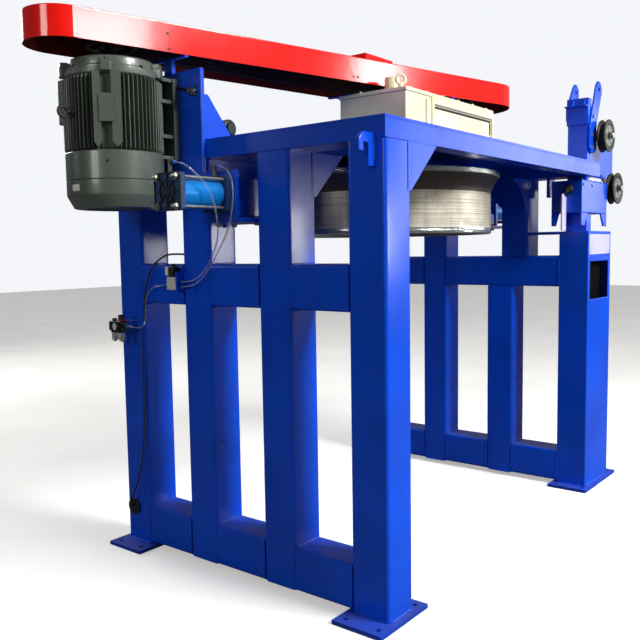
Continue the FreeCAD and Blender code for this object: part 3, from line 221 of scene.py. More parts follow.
def make(shape, name, material, body="root", instead=(), smooth=32):
    """Turns gathered surfaces into a piece: near points merge and faces turn outwards."""
    mesh = bpy.data.meshes.new(name)
    mesh.from_pydata(np.concatenate(shape.points).tolist(), [], shape.faces)
    work = bmesh.new()
    work.from_mesh(mesh)
    bmesh.ops.remove_doubles(work, verts=work.verts, dist=2e-6)
    bmesh.ops.recalc_face_normals(work, faces=work.faces)
    work.to_mesh(mesh)
    work.free()
    obj = bpy.data.objects.new(name, mesh)
    bpy.context.scene.collection.objects.link(obj)
    return settle(obj, material, body, instead, smooth)


def soften(node, width, material, body="root", segments=2):
    """A copy of a CAD node: its points merge, its flat triangles join, and a Bevel rounds its sharp edges."""
    name = node + "_finished"
    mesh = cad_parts[node].data.copy()
    mesh.name = name
    work = bmesh.new()
    work.from_mesh(mesh)
    bmesh.ops.remove_doubles(work, verts=work.verts, dist=1e-5)
    bmesh.ops.dissolve_limit(work, angle_limit=math.radians(0.5), verts=work.verts, edges=work.edges)
    work.to_mesh(mesh)
    work.free()
    obj = bpy.data.objects.new(name, mesh)
    bpy.context.scene.collection.objects.link(obj)
    bevel = obj.modifiers.new("Rounded edges", "BEVEL")
    bevel.width = width
    bevel.segments = segments
    bevel.limit_method = "ANGLE"
    bevel.angle_limit = math.radians(35)
    bevel.use_clamp_overlap = True
    bevel.harden_normals = False
    return settle(obj, material, body, (node,))


def dress(node, material):
    """A CAD node whose shape is right keeps its mesh and takes a material."""
    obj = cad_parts[node]
    for slot in obj.material_slots:
        slot.material = FINISHES[material]
    if not obj.material_slots:
        raise RuntimeError(f"{node} has no material slot")


# ---------------------------------------------------------------- materials
FINISHES = {}


def linear(code, alpha=1.0):
    """An sRGB hex colour as linear values."""
    srgb = [int(code[i : i + 2], 16) / 255 for i in (1, 3, 5)]
    return [c / 12.92 if c <= 0.04045 else ((c + 0.055) / 1.055) ** 2.4 for c in srgb] + [alpha]


def add(tree, kind, inputs=None, stops=None, **settings):
    """Adds a node. inputs holds a value or another node's output for each socket."""
    made = tree.nodes.new("ShaderNode" + kind)
    for key, value in settings.items():
        setattr(made, key, value)
    for key, value in (inputs or {}).items():
        if isinstance(value, bpy.types.NodeSocket):
            tree.links.new(value, made.inputs[key])
        else:
            made.inputs[key].default_value = value
    for element, (place, colour) in zip(made.color_ramp.elements if stops else (), stops or ()):
        element.position, element.color = place, colour
    return made


def finish(
    key,
    name,
    slot,
    colour,
    shade,
    dirt="#3A342C",
    rough=(0.3, 0.5),
    metallic=0.0,
    coat=0.0,
    grain=0.004,
    bump=0.05,
    streaks=0.15,
    grime=0.2,
    dust=0.25,
    chips=0.0,
    chip_colour="#6B6A66",
    lines=0.0,
    alpha=1.0,
    specular=0.5,
):
    """A painted, cast, turned or moulded surface. Broad noise blends two colours, a noise drawn out along Z
    makes runs and wiped marks, dirt gathers in patches, dust lies on faces that look up, chips show the
    metal, a fine noise of one grain gives the bump, and lines bands the surface along Z as turning and
    drawn wire do."""
    material = bpy.data.materials.new(name)
    material.use_nodes = True
    tree = material.node_tree
    tree.nodes.clear()
    where = add(tree, "TexCoord").outputs["Object"]
    broad = add(tree, "TexNoise", {"Vector": where, "Scale": 2.6, "Detail": 3.0}).outputs["Fac"]
    blend = add(tree, "ValToRGB", {"Fac": broad}, stops=((0.35, colour), (0.72, linear(shade))))
    drawn = add(tree, "Mapping", {"Vector": where, "Scale": (30.0, 30.0, 1.4)}).outputs["Vector"]
    runs = add(tree, "TexNoise", {"Vector": drawn, "Scale": 1.0, "Detail": 4.0}).outputs["Fac"]
    runs = add(tree, "MapRange",
        {"Value": runs, "From Min": 0.5, "From Max": 0.75, "To Max": streaks}).outputs["Result"]
    tone = add(tree, "Mix", {0: runs, 6: blend.outputs["Color"], 7: linear(shade)}, data_type="RGBA")
    patch = add(tree, "TexNoise",
        {"Vector": where, "Scale": 7.0, "Detail": 8.0, "Roughness": 0.65}).outputs["Fac"]
    patch = add(tree, "MapRange",
        {"Value": patch, "From Min": 0.52, "From Max": 0.78, "To Max": grime}).outputs["Result"]
    soiled = add(tree, "Mix", {0: patch, 6: tone.outputs[2], 7: linear(dirt)}, data_type="RGBA")
    up = add(tree, "SeparateXYZ", {0: add(tree, "NewGeometry").outputs["Normal"]}).outputs["Z"]
    up = add(tree, "MapRange",
        {"Value": up, "From Min": 0.6, "From Max": 1.0, "To Max": dust}).outputs["Result"]
    settled = add(tree, "Math", {0: up, 1: broad}, operation="MULTIPLY").outputs[0]
    dusty = add(tree, "Mix", {0: settled, 6: soiled.outputs[2], 7: linear("#A39C8E")}, data_type="RGBA")
    fleck = add(tree, "TexVoronoi", {"Vector": where, "Scale": 34.0}).outputs["Distance"]
    fleck = add(tree, "Math", {0: fleck, 1: 0.045 + 0.12 * chips}, operation="LESS_THAN").outputs[0]
    wear_and_glare = add(tree, "Math", {0: fleck, 1: min(1.0, chips * 4)}, operation="MULTIPLY").outputs[0]
    chipped = add(tree, "Mix", {0: wear_and_glare, 6: dusty.outputs[2], 7: linear(chip_colour)}, data_type="RGBA")
    fine = add(tree, "TexNoise", {"Vector": where, "Scale": 1.0 / grain, "Detail": 2.0}).outputs["Fac"]
    banded = add(tree, "Mapping", {"Vector": where, "Scale": (0.6, 0.6, 160.0)}).outputs["Vector"]
    bands = add(tree, "TexNoise", {"Vector": banded, "Scale": 1.0, "Detail": 3.0}).outputs["Fac"]
    height = add(tree, "Mix", {0: lines, 2: fine, 3: bands}, data_type="FLOAT").outputs[0]
    ridge = add(tree, "MapRange",
        {"Value": bands, "From Min": 0.45, "From Max": 0.7, "To Max": lines}).outputs["Result"]
    final = add(tree, "Mix", {0: ridge, 6: chipped.outputs[2], 7: linear(shade)}, data_type="RGBA")
    wobble = add(tree, "Math", {0: broad, 1: patch}, operation="ADD").outputs[0]
    gloss = add(tree, "MapRange",
        {"Value": wobble, "From Min": 0.3, "From Max": 0.9, "To Min": rough[0], "To Max": rough[1]})
    relief = add(tree, "Bump", {"Strength": bump, "Distance": grain, "Height": height}).outputs["Normal"]
    surface = add(
        tree,
        "BsdfPrincipled",
        {
            "Base Color": final.outputs[2],
            "Roughness": gloss.outputs["Result"],
            "Metallic": metallic,
            "Coat Weight": coat,
            "Coat Roughness": 0.08,
            "Normal": relief,
            "Alpha": alpha,
            "Transmission Weight": 0.0 if alpha == 1.0 else 0.6,
            "Specular IOR Level": specular,
        },
    )
    end = add(tree, "OutputMaterial", {"Surface": surface.outputs[0]})
    end.is_active_output = True
    FINISHES[key] = material
    return material


# Each row: key, name, record slot, two colours and what differs from a plain gloss coat.
TABLE = (
    # Sprayed gloss enamel on rolled box section: deep blue, sharp reflections, wiped and dusty in places.
    ("blue", "gloss_blue_enamel_on_steel", "blue_paint", "#004EDC", "#0042C2",
     dict(coat=0.12, specular=0.3, rough=(0.2, 0.32), grain=0.03, bump=0.012, streaks=0.3, grime=0.1,
          dust=0.08, dirt="#0A2A6A")),
    # The same enamel on flame-cut plate: as glossy, with a little more grime in patches.
    ("blue_plate", "gloss_blue_enamel_on_plate", "blue_paint", "#044CD8", "#0240BA",
     dict(coat=0.12, specular=0.32, rough=(0.2, 0.32), grain=0.03, bump=0.012, grime=0.14, dust=0.1,
          dirt="#0C2660")),
    # Foot plates are walked on: the same enamel, scuffed and dusty.
    ("blue_foot", "scuffed_blue_enamel_foot_plate", "blue_paint", "#0A44CC", "#1B3A92",
     dict(rough=(0.35, 0.55), grime=0.25, dust=0.12, chips=0.1, chip_colour="#8C94A6", specular=0.3)),
    # A painted weld bead: the same blue, with small glints along its ripples.
    ("weld", "painted_weld_bead", "blue_paint", "#004CD6", "#0040BA",
     dict(coat=0.3, rough=(0.2, 0.3), bump=0.1, specular=0.4, grime=0.1, dust=0.1)),
    # Sprayed gloss enamel on folded sheet: a strong red with long, clear reflections.
    ("red", "gloss_red_enamel_on_sheet", "red_paint", "#F0140A", "#D80E06",
     dict(coat=0.3, rough=(0.10, 0.17), grain=0.04, bump=0.01, streaks=0.2, grime=0.06, dust=0.08,
          dirt="#7A0A04")),
    # Inside the guard: the guard's red darkened to a dull dark red as painted shade; it shows only from
    # below.
    ("guard_inside_painted_shade", "red_darkened_as_painted_shade", "red_paint", "#8A1C12", "#5A140E",
     dict(rough=(0.5, 0.7), grime=0.3, specular=0.25, dirt="#33140F")),
    # Enamel on a ground casting: pale cream with soft highlights, darker where oil has gathered.
    ("cream", "cream_enamel_on_casting", "cream_paint", "#E9E3BC", "#DCD3A2",
     dict(coat=0.45, rough=(0.3, 0.42), grain=0.009, bump=0.1, grime=0.16, dust=0.2, dirt="#7C7048")),
    # Enamel over cast iron and pressed sheet: grey-green, with a soft sheen over a fine cast grain.
    ("motor", "grey_green_enamel_on_cast_iron", "motor_grey_paint", "#5A6258", "#4A5148",
     dict(coat=0.35, rough=(0.24, 0.36), grain=0.004, bump=0.14, grime=0.3, dust=0.2, dirt="#26251F")),
    # The same enamel on the fins: dust between them keeps it dark.
    ("motor_fins", "grey_green_enamel_on_cooling_fins", "motor_grey_paint", "#5C635A", "#4A5048",
     dict(coat=0.1, rough=(0.36, 0.5), grain=0.004, bump=0.08, grime=0.3, dust=0.15, dirt="#1F1F1A")),
    # Drawn wire has polished and scored the drum in rings, with brown oil film between them.
    ("drum", "worn_drawing_drum_steel", "worn_steel", "#DCD7C6", "#857B6B",
     dict(metallic=0.6, rough=(0.34, 0.55), lines=0.9, bump=0.35, grime=0.55, dirt="#3E382C", grain=0.003,
          streaks=0.5)),
    # The unpolished casting inside the drum: dark, with an oily sheen.
    ("drum_dark", "oiled_drum_casting", "worn_steel", "#4B4842", "#35322D",
     dict(metallic=0.5, rough=(0.45, 0.6), grime=0.5)),
    # Turned steel: bright, with fine rings from the tool.
    ("steel", "machined_bright_steel", "machined_steel", "#B9BAB8", "#8F908E",
     dict(metallic=1.0, rough=(0.22, 0.38), grain=0.002, lines=0.15, grime=0.2)),
    # Bright zinc plate on small fasteners: pale, slightly warm glints.
    ("zinc", "zinc_plated_fastener", "machined_steel", "#C2C0B4", "#9A988C",
     dict(metallic=0.9, rough=(0.3, 0.45))),
    # Black oxide on screws and bolts: nearly black, with a faint metal sheen.
    ("blackened", "black_oxide_fastener", "machined_steel", "#24252A", "#15161A",
     dict(metallic=0.6, rough=(0.35, 0.5))),
    # Cast iron wiped with oil: dark grey, with a rough cast skin.
    ("iron", "oiled_cast_iron_wheel", "cast_iron", "#33352F", "#22231F",
     dict(metallic=0.5, rough=(0.4, 0.55), bump=0.15)),
    # Enamelled cover discs of the guide wheels: grey-green and smooth.
    ("disc", "grey_green_wheel_disc", "cast_iron", "#6C7267", "#565B52",
     dict(rough=(0.35, 0.5), coat=0.2)),
    # Anodised aluminium tube: a clear sky blue with one long highlight.
    ("barrel", "sky_blue_anodised_tube", "sky_blue_tube", "#1191E6", "#0A78CE",
     dict(metallic=0.35, coat=0.4, rough=(0.28, 0.38), bump=0.02, grime=0.05)),
    # Anodised aluminium caps: a dark slate blue, satin.
    ("slate", "slate_blue_anodised_cap", "slate_blue_metal", "#2B4C7C", "#1D3660",
     dict(metallic=0.4, rough=(0.35, 0.48))),
    # The cast face of a cap: darker and duller than its sides.
    ("slate_dark", "dark_cast_cap_face", "slate_blue_metal", "#2A2C30", "#191A1D",
     dict(metallic=0.4, rough=(0.4, 0.55))),
    # Moulded rubber with a cloth cover: matt black.
    ("belt", "black_rubber_v_belt", "black_rubber", "#1B1B1B", "#101010",
     dict(rough=(0.6, 0.8), grain=0.002, bump=0.3)),
    # Dark green enamel on a pump: smooth with broad, weak highlights.
    ("olive", "olive_enamel_pump", "olive_paint", "#1E2824", "#161C1A",
     dict(coat=0.2, rough=(0.32, 0.45), bump=0.1)),
    # Die-cast zinc, painted silver: pale and satin.
    ("silver", "satin_die_cast_zinc", "valve_metal", "#E6E6E2", "#CFCFCA",
     dict(metallic=0.2, rough=(0.3, 0.42), grime=0.08)),
    # Moulded nylon with glass fibre: black, with a fine dull grain.
    ("plastic", "black_glass_filled_nylon", "black_plastic", "#17181A", "#0D0E10",
     dict(rough=(0.4, 0.55), grain=0.001)),
    # Smooth moulded plastic: off-white.
    ("white", "white_moulded_plastic", "black_plastic", "#E8E6DF", "#D8D5CA",
     dict(rough=(0.35, 0.5), grime=0.08)),
    # Smooth moulded plastic: signal red.
    ("red_ring", "red_moulded_ring", "black_plastic", "#D4131C", "#B20E16",
     dict(rough=(0.3, 0.4), grime=0.05)),
    # Clear polycarbonate: what is behind it shows, with sharp highlights on its rim.
    ("bowl", "clear_polycarbonate_bowl", "clear_bowl", "#DDE4E0", "#C8D0CC",
     dict(rough=(0.05, 0.12), alpha=0.45, grime=0.1, streaks=0.0, dust=0.0)),
    # Nickel plate on brass elbows: a dark, clear metal grey.
    ("nickel", "nickel_plated_elbow", "brass_and_rubber", "#77766F", "#4C4B46",
     dict(metallic=0.9, rough=(0.25, 0.4))),
    # The drum's flare under the deck: dark brown-grey, painted shade.
    ("drum_flare_painted_shade", "drum_flare_darkened_as_painted_shade", "worn_steel", "#5E564C", "#38322B",
     dict(metallic=0.5, rough=(0.32, 0.5), lines=0.5, bump=0.2, grime=0.6, dirt="#221D18", grain=0.003)),
    # The drum's lower rim and upper lip are polished by the wire: bright and mirror-like.
    ("drum_rim", "polished_drum_rim", "worn_steel", "#D6D8D4", "#9FA3A2",
     dict(metallic=0.9, rough=(0.16, 0.3), lines=0.3, bump=0.1, grime=0.2, grain=0.003)),
    # The unlit space behind an opening: near black, with no sheen.
    ("void", "unlit_inside", "black_plastic", "#060606", "#030303",
     dict(rough=(0.8, 0.9), specular=0.05, dust=0.0)),
    # A pale lilac painted reflection of glare over the enamel under the leg's top edge and on the die clamp.
    ("painted_glare", "painted_glare_on_enamel", "blue_paint", "#B4B2DC", "#CFC6D8",
     dict(rough=(0.45, 0.6), grime=0.5, dirt="#2A50D0", specular=0.3)),
    # Nickel brass: a warm, pale metal.
    ("brass", "nickel_brass_fitting", "brass_and_rubber", "#B9A876", "#8E7F52",
     dict(metallic=0.9, rough=(0.28, 0.42))),
    # Moulded push-in collets: a clear light blue.
    ("collet", "blue_push_in_collet", "brass_and_rubber", "#2F7FE0", "#1E62BC",
     dict(rough=(0.3, 0.4), grime=0.05)),
    # Moulded rubber: matt black.
    ("rubber", "black_moulded_rubber", "brass_and_rubber", "#121212", "#0A0A0A",
     dict(rough=(0.6, 0.75))),
    # Clear polyurethane tube: milky, with a narrow highlight along it.
    ("hose", "translucent_polyurethane_tube", "clear_tube", "#C8CFDC", "#A6AFC2",
     dict(rough=(0.12, 0.2), alpha=0.5, coat=0.6, grime=0.05, streaks=0.0)),
    # Rubber sheath: black and matt.
    ("cable", "black_rubber_cable_sheath", "black_cable", "#26282A", "#16181A",
     dict(rough=(0.5, 0.65), grain=0.002)),
)


# ---------------------------------------------------------------- pieces
def build_side_frames(sizes):
    """Rolled box section: a rounded rectangle carried up each post and along each rail, with weld beads
    where they meet."""
    corner = sizes.corner
    deck_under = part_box("deck_side_beams")[0].z
    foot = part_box("base_plates")[1].z
    low_rail, mid_rail = (0.030, 0.243), (1.385, 1.597)
    mids = [i * PITCH for i in range(4)]
    posts = Shape()
    for i, y in enumerate(mids):
        base = foot if i in (0, 3) else low_rail[0]
        posts.box((-HALF, y - HALF, base), (HALF, y + HALF, deck_under), corner)
    make(posts, "near_posts_rolled", "blue", instead=("near_posts",))
    rails, welds = Shape(), Shape()
    for a, b in zip(mids, mids[1:]):
        for low, high in (low_rail, mid_rail):
            rails.box((-HALF, a + HALF, low), (HALF, b - HALF, high), corner, "y", 0.001)
            for y in (a + HALF, b - HALF):
                for z in (low, high):
                    welds.weld((-HALF + corner, y, z), (HALF - corner, y, z))
                for x in (-HALF, HALF):
                    welds.weld((x, y, low + corner), (x, y, high - corner), 0.0035)
    make(rails, "near_rails_rolled", "blue", instead=("near_rails",))

    left, right = FAR_LOW.x, FAR_HIGH.x
    far = Shape()
    spans = ((0.433, 0.633, low_rail[0], mid_rail[0]), (0.966, 1.166, low_rail[0], deck_under),
             (1.499, 1.699, foot, deck_under), (0.326, 0.526, mid_rail[1], deck_under))
    for y0, y1, z0, z1 in spans:
        far.box((left, y0, z0), (right, y1, z1), corner)
        for x in (left, right):
            welds.weld((x, y0 + corner, z0), (x, y1 - corner, z0), 0.004)
    make(far, "far_posts_rolled", "blue", instead=("far_posts",))
    far = Shape()
    bays = ((0.1, 0.966, *mid_rail), (1.166, 1.499, *mid_rail), (0.1, 0.433, *low_rail),
        (0.633, 0.966, *low_rail), (1.166, 1.499, *low_rail))
    for y0, y1, z0, z1 in bays:
        far.box((left, y0, z0), (right, y1, z1), corner, "y", 0.001)
        for y in (y0, y1):
            for x in (left, right):
                welds.weld((x, y, z0 + corner), (x, y, z1 - corner), 0.0035)
    far.box((left, 0.1, 1.742), (right, 0.326, 1.760), 0.003, "y")
    make(far, "far_rails_rolled", "blue", instead=("far_rails",))
    soften("far_front_leg", 0.012, "blue", segments=3)
    soften("base_plates", 0.003, "blue_foot")
    # The leg's opening is filled with a near-black box: painted shade.
    shade = Shape().box((left + 0.014, -HALF + 0.060, 1.25), (left + 0.436, HALF - 0.012, 1.605), 0.002)
    make(shade, "leg_opening_painted_shade", "void")
    # A pale lilac patch under the leg's top edge: a painted reflection of glare.
    wear_and_glare = [(2.352, 1.738), (2.758, 1.738), (2.758, 1.606), (2.352, 1.602)]
    painted_glare = Shape().prism(rounded(wear_and_glare, 0.006), "y", -HALF - 0.0004, -HALF + 0.0012, 0.0002)
    make(painted_glare, "leg_painted_glare", "painted_glare")
    leg_low, leg_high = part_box("far_front_leg")
    for x0, x1, y in ((-HALF, HALF, 0.0), (-HALF, HALF, mids[3]), (left, right, mids[3]),
            (leg_low.x, leg_high.x, 0.0)):
        for side in (-HALF, HALF):
            welds.weld((x0 + corner, y + side, foot + 0.001), (x1 - corner, y + side, foot + 0.001), 0.005)
        for x in (x0, x1):
            welds.weld((x, y - HALF + corner, foot + 0.001), (x, y + HALF - corner, foot + 0.001), 0.005)
    for x0, x1, ys in ((-HALF, HALF, mids), (left, right, (0.426, mids[2], mids[3]))):
        for y in ys:
            for side in (-HALF, HALF) if y > 0.1 else (HALF,):
                welds.weld((x0 + corner, y + side, deck_under), (x1 - corner, y + side, deck_under), 0.004)
            for x in (x1,) if x0 < 0 else (x0,):
                welds.weld((x, y - HALF + corner, deck_under), (x, y + HALF - corner, deck_under), 0.004)
    fill = Shape()
    for y in mids:
        fill.box((HALF - 0.03, y - HALF, 1.912), (HALF + 0.002, y - HALF + 0.016, deck_under), 0.0005)
    make(fill, "flush_ground_joints", "blue")
    make(welds, "frame_welds", "weld", smooth=80)


def build_deck():
    """The deck keeps its plates with rounded edges, and the near hook gains its two weld beads."""
    for node, width in (("deck_plate", 0.0015), ("deck_side_beams", 0.0008), ("deck_cross_beams", 0.0008),
                        ("gussets", 0.0008), ("lifting_hooks", 0.004), ("output_sleeve", 0.004)):
        soften(node, width, "blue_plate" if node != "output_sleeve" else "blue")
    welds = Shape()
    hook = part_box("lifting_hooks")
    welds.weld((-HALF, hook[0].y, hook[0].z + 0.03), (-HALF, hook[0].y, hook[1].z), 0.006)
    welds.weld((-HALF, hook[0].y + 0.022, hook[0].z + 0.03), (-HALF, hook[0].y + 0.022, hook[1].z), 0.006)
    make(welds, "deck_welds", "weld", smooth=80)


def build_drum():
    """The drum is one turned profile: a rolled lower lip, a slightly coned face with a land at each end,
    and the flare that holds the wire under the deck. Eight ribs stiffen it inside."""
    r = 0.665
    low, high = DRUM_LOW.z, DRUM_HIGH.z
    wall, web = 0.028, 0.026
    x, y = DRUM_AT
    face = [(r - wall, low + 0.004), (r - wall + 0.006, low), (r - 0.008, low), (r - 0.001, low + 0.006),
        (r, low + 0.018), (r - 0.002, low + 0.022), (r - 0.002, low + 0.06), (r - 0.003, low + 0.14),
        (r - 0.003, high - 0.125), (r, high - 0.106), (r + 0.004, high - 0.095), (r + 0.030, high - 0.045),
        (r + 0.045, high - 0.030), (r + 0.048, high - 0.024), (r + 0.048, high - 0.003), (r + 0.045, high),
        (0.075, high), (0.072, high - 0.004), (0.072, high - 0.14), (0.115, high - 0.146),
        (0.12, high - 0.14), (0.12, high - web - 0.02), (0.14, high - web), (r - wall - 0.02, high - web),
        (r - wall, high - web - 0.02)]
    drum = Shape().lathe(face, "z", (x, y, 0), 160, closed=True)
    make(drum, "drum_turned", "drum", "drum", ("drum",), smooth=28)
    # The flare's band takes a dark brown-grey finish: painted shade under the deck.
    lines = ((("flare", "drum_flare_painted_shade"),
        [(r - 0.003, high - 0.125), (r, high - 0.106), (r + 0.004, high - 0.095), (r + 0.030, high - 0.045),
        (r + 0.045, high - 0.030)]),
        (("rim", "drum_rim"), [(r - 0.001, low + 0.006), (r, low + 0.018), (r - 0.002, low + 0.022),
        (r - 0.002, low + 0.034)]),
        (("lip", "drum_rim"), [(r + 0.048, high - 0.024), (r + 0.048, high - 0.003), (r + 0.045, high)]))
    for (part, material), line in lines:
        line = np.array(line)
        band = np.concatenate([line + (0.0006, 0), (line - (0.003, 0))[::-1]])
        make(Shape().lathe(band, "z", (x, y, 0), 160, closed=True), "drum_" + part + "_band", material,
            "drum", smooth=28)
    inside = Shape()
    for k in range(8):
        a = 2 * math.pi * k / 8 + 0.2
        c, s = math.cos(a), math.sin(a)
        corners = np.array([(0.12, -0.007), (r - wall, -0.007), (r - wall, 0.007), (0.12, 0.007)])
        turned = corners @ np.array([(c, s), (-s, c)]) + (x, y)
        inside.prism(turned, "z", high - web - 0.1, high - web, 0.001)
    make(inside, "drum_ribs", "drum_dark", "drum")
    shaft = Shape()
    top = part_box("drum_shaft")[1].z
    shaft.lathe([(0, high - 0.172), (0.1, high - 0.172), (0.108, high - 0.166), (0.108, high - 0.15),
        (0.104, high - 0.146), (0.0699, high - 0.146), (0.0699, top), (0, top)], "z", (x, y, 0), 64)
    for k in range(6):
        a = 2 * math.pi * k / 6
        shaft.bolt((x + 0.085 * math.cos(a), y + 0.085 * math.sin(a), high - 0.172), "z", -1, 0.010, 0.008,
            False)
    make(shaft, "drum_shaft_turned", "steel", "drum", ("drum_shaft",))


def build_gearbox():
    """The cream case and lid keep their cast form with rounded edges. Bolts line the lid's flange."""
    soften("gearbox_case", 0.005, "cream", segments=3)
    soften("gearbox_lid", 0.004, "cream", segments=3)
    dress("gearbox_eye_bolts", "cream")
    cap = Shape().lathe([(0, 2.59), (0.044, 2.59), (0.045, 2.60), (0.045, 2.664), (0.043, 2.670),
        (0.037, 2.672), (0, 2.672)], "z", (1.142, 0.668, 0), 40)
    make(cap, "gearbox_breather", "cream")
    low, high = CASE_LOW, CASE_HIGH
    front = 0.517
    top = high.z + 0.022
    bolts = Shape()
    for t in np.linspace(0.06, 0.94, 6):
        x = low.x + t * (high.x - low.x)
        bolts.bolt((x, front + 0.018, top), "z", 1, 0.011, 0.009)
        bolts.bolt((x, high.y - 0.018, top), "z", 1, 0.011, 0.009)
    for t in (0.3, 0.7):
        y = front + t * (high.y - front)
        bolts.bolt((low.x + 0.018, y, top), "z", 1, 0.011, 0.009)
        bolts.bolt((high.x - 0.018, y, top), "z", 1, 0.011, 0.009)
    make(bolts, "gearbox_bolts", "zinc")
    parting = Shape().box((low.x - 0.001, front - 0.001, high.z - 0.001),
        (high.x + 0.001, high.y + 0.001, high.z + 0.001), 0.001)
    make(parting, "gearbox_gasket", "rubber")
    # A dark strip along the top and right of the recessed panel: a painted shadow of the panel frame.
    panel_shadow = Shape().box((1.352, 0.5135, 2.506), (2.128, 0.5175, 2.519), 0.001, "x", 0.0005)
    panel_shadow.box((2.116, 0.5135, 2.424), (2.128, 0.5175, 2.506), 0.001, "z", 0.0005)
    make(panel_shadow, "gearbox_panel_painted_shadow", "rubber")
    plug = Shape()
    plug.bolt((low.x, front + 0.1, low.z + 0.05), "x", -1, 0.016, 0.014)
    plug.bolt((high.x, front + 0.2, low.z + 0.06), "x", 1, 0.016, 0.014)
    make(plug, "gearbox_drain_plugs", "brass")


PAD_ANGLE = math.radians(225.8)
EYE_ANGLE = math.radians(178.0)
GUARD_NEAR = (-0.617, 1.381, 0.180)
GUARD_FAR = (2.308, 0.750, 0.266)


def loop(near, far, grow=0.0, steps=40, spans=48):
    """Two arcs joined by their common tangents: points on the outline round both circles."""
    (ax, ay, ra), (bx, by, rb) = near, far
    run = math.hypot(bx - ax, by - ay)
    aim = math.atan2(by - ay, bx - ax)
    lean = math.acos((ra - rb) / run)
    ends = []
    for (cx, cy, r), a0, a1 in ((near, aim + lean, aim - lean + 2 * math.pi), (far, aim - lean, aim + lean)):
        t = np.linspace(a0, a1, steps)
        ends.append(np.stack([cx + (r + grow) * np.cos(t), cy + (r + grow) * np.sin(t)], 1))
    s = np.linspace(0, 1, spans)[1:-1, None]
    first = ends[0][-1] * (1 - s) + ends[1][0] * s
    second = ends[1][-1] * (1 - s) + ends[0][0] * s
    return np.concatenate([ends[0], first, ends[1], second])


def on_front(share):
    """A point on the guard's front side, from its motor end (0) to its gearbox end (1), and its outward
    normal."""
    (ax, ay, ra), (bx, by, rb) = GUARD_NEAR, GUARD_FAR
    run = math.hypot(bx - ax, by - ay)
    angle = math.atan2(by - ay, bx - ax) - math.acos((ra - rb) / run)
    n = np.array([math.cos(angle), math.sin(angle)])
    start, end = np.array([ax, ay]) + ra * n, np.array([bx, by]) + rb * n
    return start + (end - start) * share, n


# Along the guard's front side: where the sheets join, and each fixing screw with its height.
GUARD_SEAMS = (0.0,)
GUARD_FIXINGS = ((0.1543, 2.732), (0.1561, 2.657), (0.5546, 2.669), (0.5649, 2.671), (0.9164, 2.674),
    (0.9282, 2.675))


def build_guard():
    """The guard's wall is its outline carried up, with a rolled bottom edge and a rounded top; the inside is
    red darkened as painted shade."""
    low, high = 2.642, 2.787
    outer, inner = loop(GUARD_NEAR, GUARD_FAR), loop(GUARD_NEAR, GUARD_FAR, -0.004)
    skin = Shape()
    grown = [loop(GUARD_NEAR, GUARD_FAR, g) for g in (-0.004, -0.003, 0.0, 0.0, -0.001, -0.004, -0.007,
        -0.03)]
    heights = [low + 0.001, low, low + 0.001, high - 0.007, high - 0.003, high - 0.001, high, high]
    grid = np.stack([lay("z", g[:, 0], g[:, 1], h) for g, h in zip(grown, heights)])
    inside = np.stack([lay("z", g[:, 0], g[:, 1], h) for g,
        h in ((loop(GUARD_NEAR, GUARD_FAR, -0.03), high - 0.004),
        (loop(GUARD_NEAR, GUARD_FAR, -0.006), high - 0.004), (inner, high - 0.006), (inner, low + 0.002))])
    skin.grid(grid, caps=False)
    skin.faces.append(list(range(7 * len(outer), 8 * len(outer))))
    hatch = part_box("belt_guard")
    hx0, hx1, hy0, hy1 = 1.102, 1.402, 0.830, 1.130
    skin.box((hx0, hy0, high - 0.002), (hx1, hy1, hatch[1].z), 0.006)
    make(skin, "belt_guard_skin", "red", instead=("belt_guard",), smooth=24)
    # The lining takes the guard's red darkened as painted shade.
    dark = Shape().grid(inside, caps=False)
    dark.faces.append(list(range(len(outer))))
    make(dark, "belt_guard_lining", "guard_inside_painted_shade", smooth=24)
    trim, rivets = Shape(), Shape()
    for share in GUARD_SEAMS:
        p, n = on_front(share)
        along = np.array([-n[1], n[0]])
        a, b = p - along * 0.012 - n * 0.001, p + along * 0.012 - n * 0.001
        c, d = b + n * 0.003, a + n * 0.003
        trim.prism([a, b, c, d], "z", low + 0.002, high - 0.004, 0.0008)
        for z in np.linspace(low + 0.015, high - 0.02, 6):
            q = p + along * 0.006 + n * 0.002
            rivets.tube([(*q, z), (*(q + n * 0.0012), z), (*(q + n * 0.0018), z)], [0.0028, 0.0024, 0.001], 8)
    make(trim, "guard_seam_strip", "red", smooth=24)
    make(rivets, "guard_rivets", "blackened")
    fixings = Shape()
    for share, z in GUARD_FIXINGS:
        p, n = on_front(share)
        fixings.tube([(*(p - n * 0.001), z), (*(p + n * 0.0012), z), (*(p + n * 0.003), z)],
            [0.0075, 0.007, 0.004], 12)
    make(fixings, "guard_fixing_screws", "blackened")
    lid = Shape()
    for x in (hx0 + 0.02, hx1 - 0.02):
        for y in (hy0 + 0.02, hy1 - 0.02):
            lid.bolt((x, y, hatch[1].z - 0.001), "z", 1, 0.006, 0.004)
    for x in np.linspace(0.1, 2.2, 5):
        y = 1.381 - (x + 0.617) * 0.2157
        if not hx0 < x < hx1:
            lid.bolt((x, y, high), "z", 1, 0.008, 0.005)
    make(lid, "guard_top_screws", "zinc")
    soften("guard_stands", 0.002, "blue_plate")


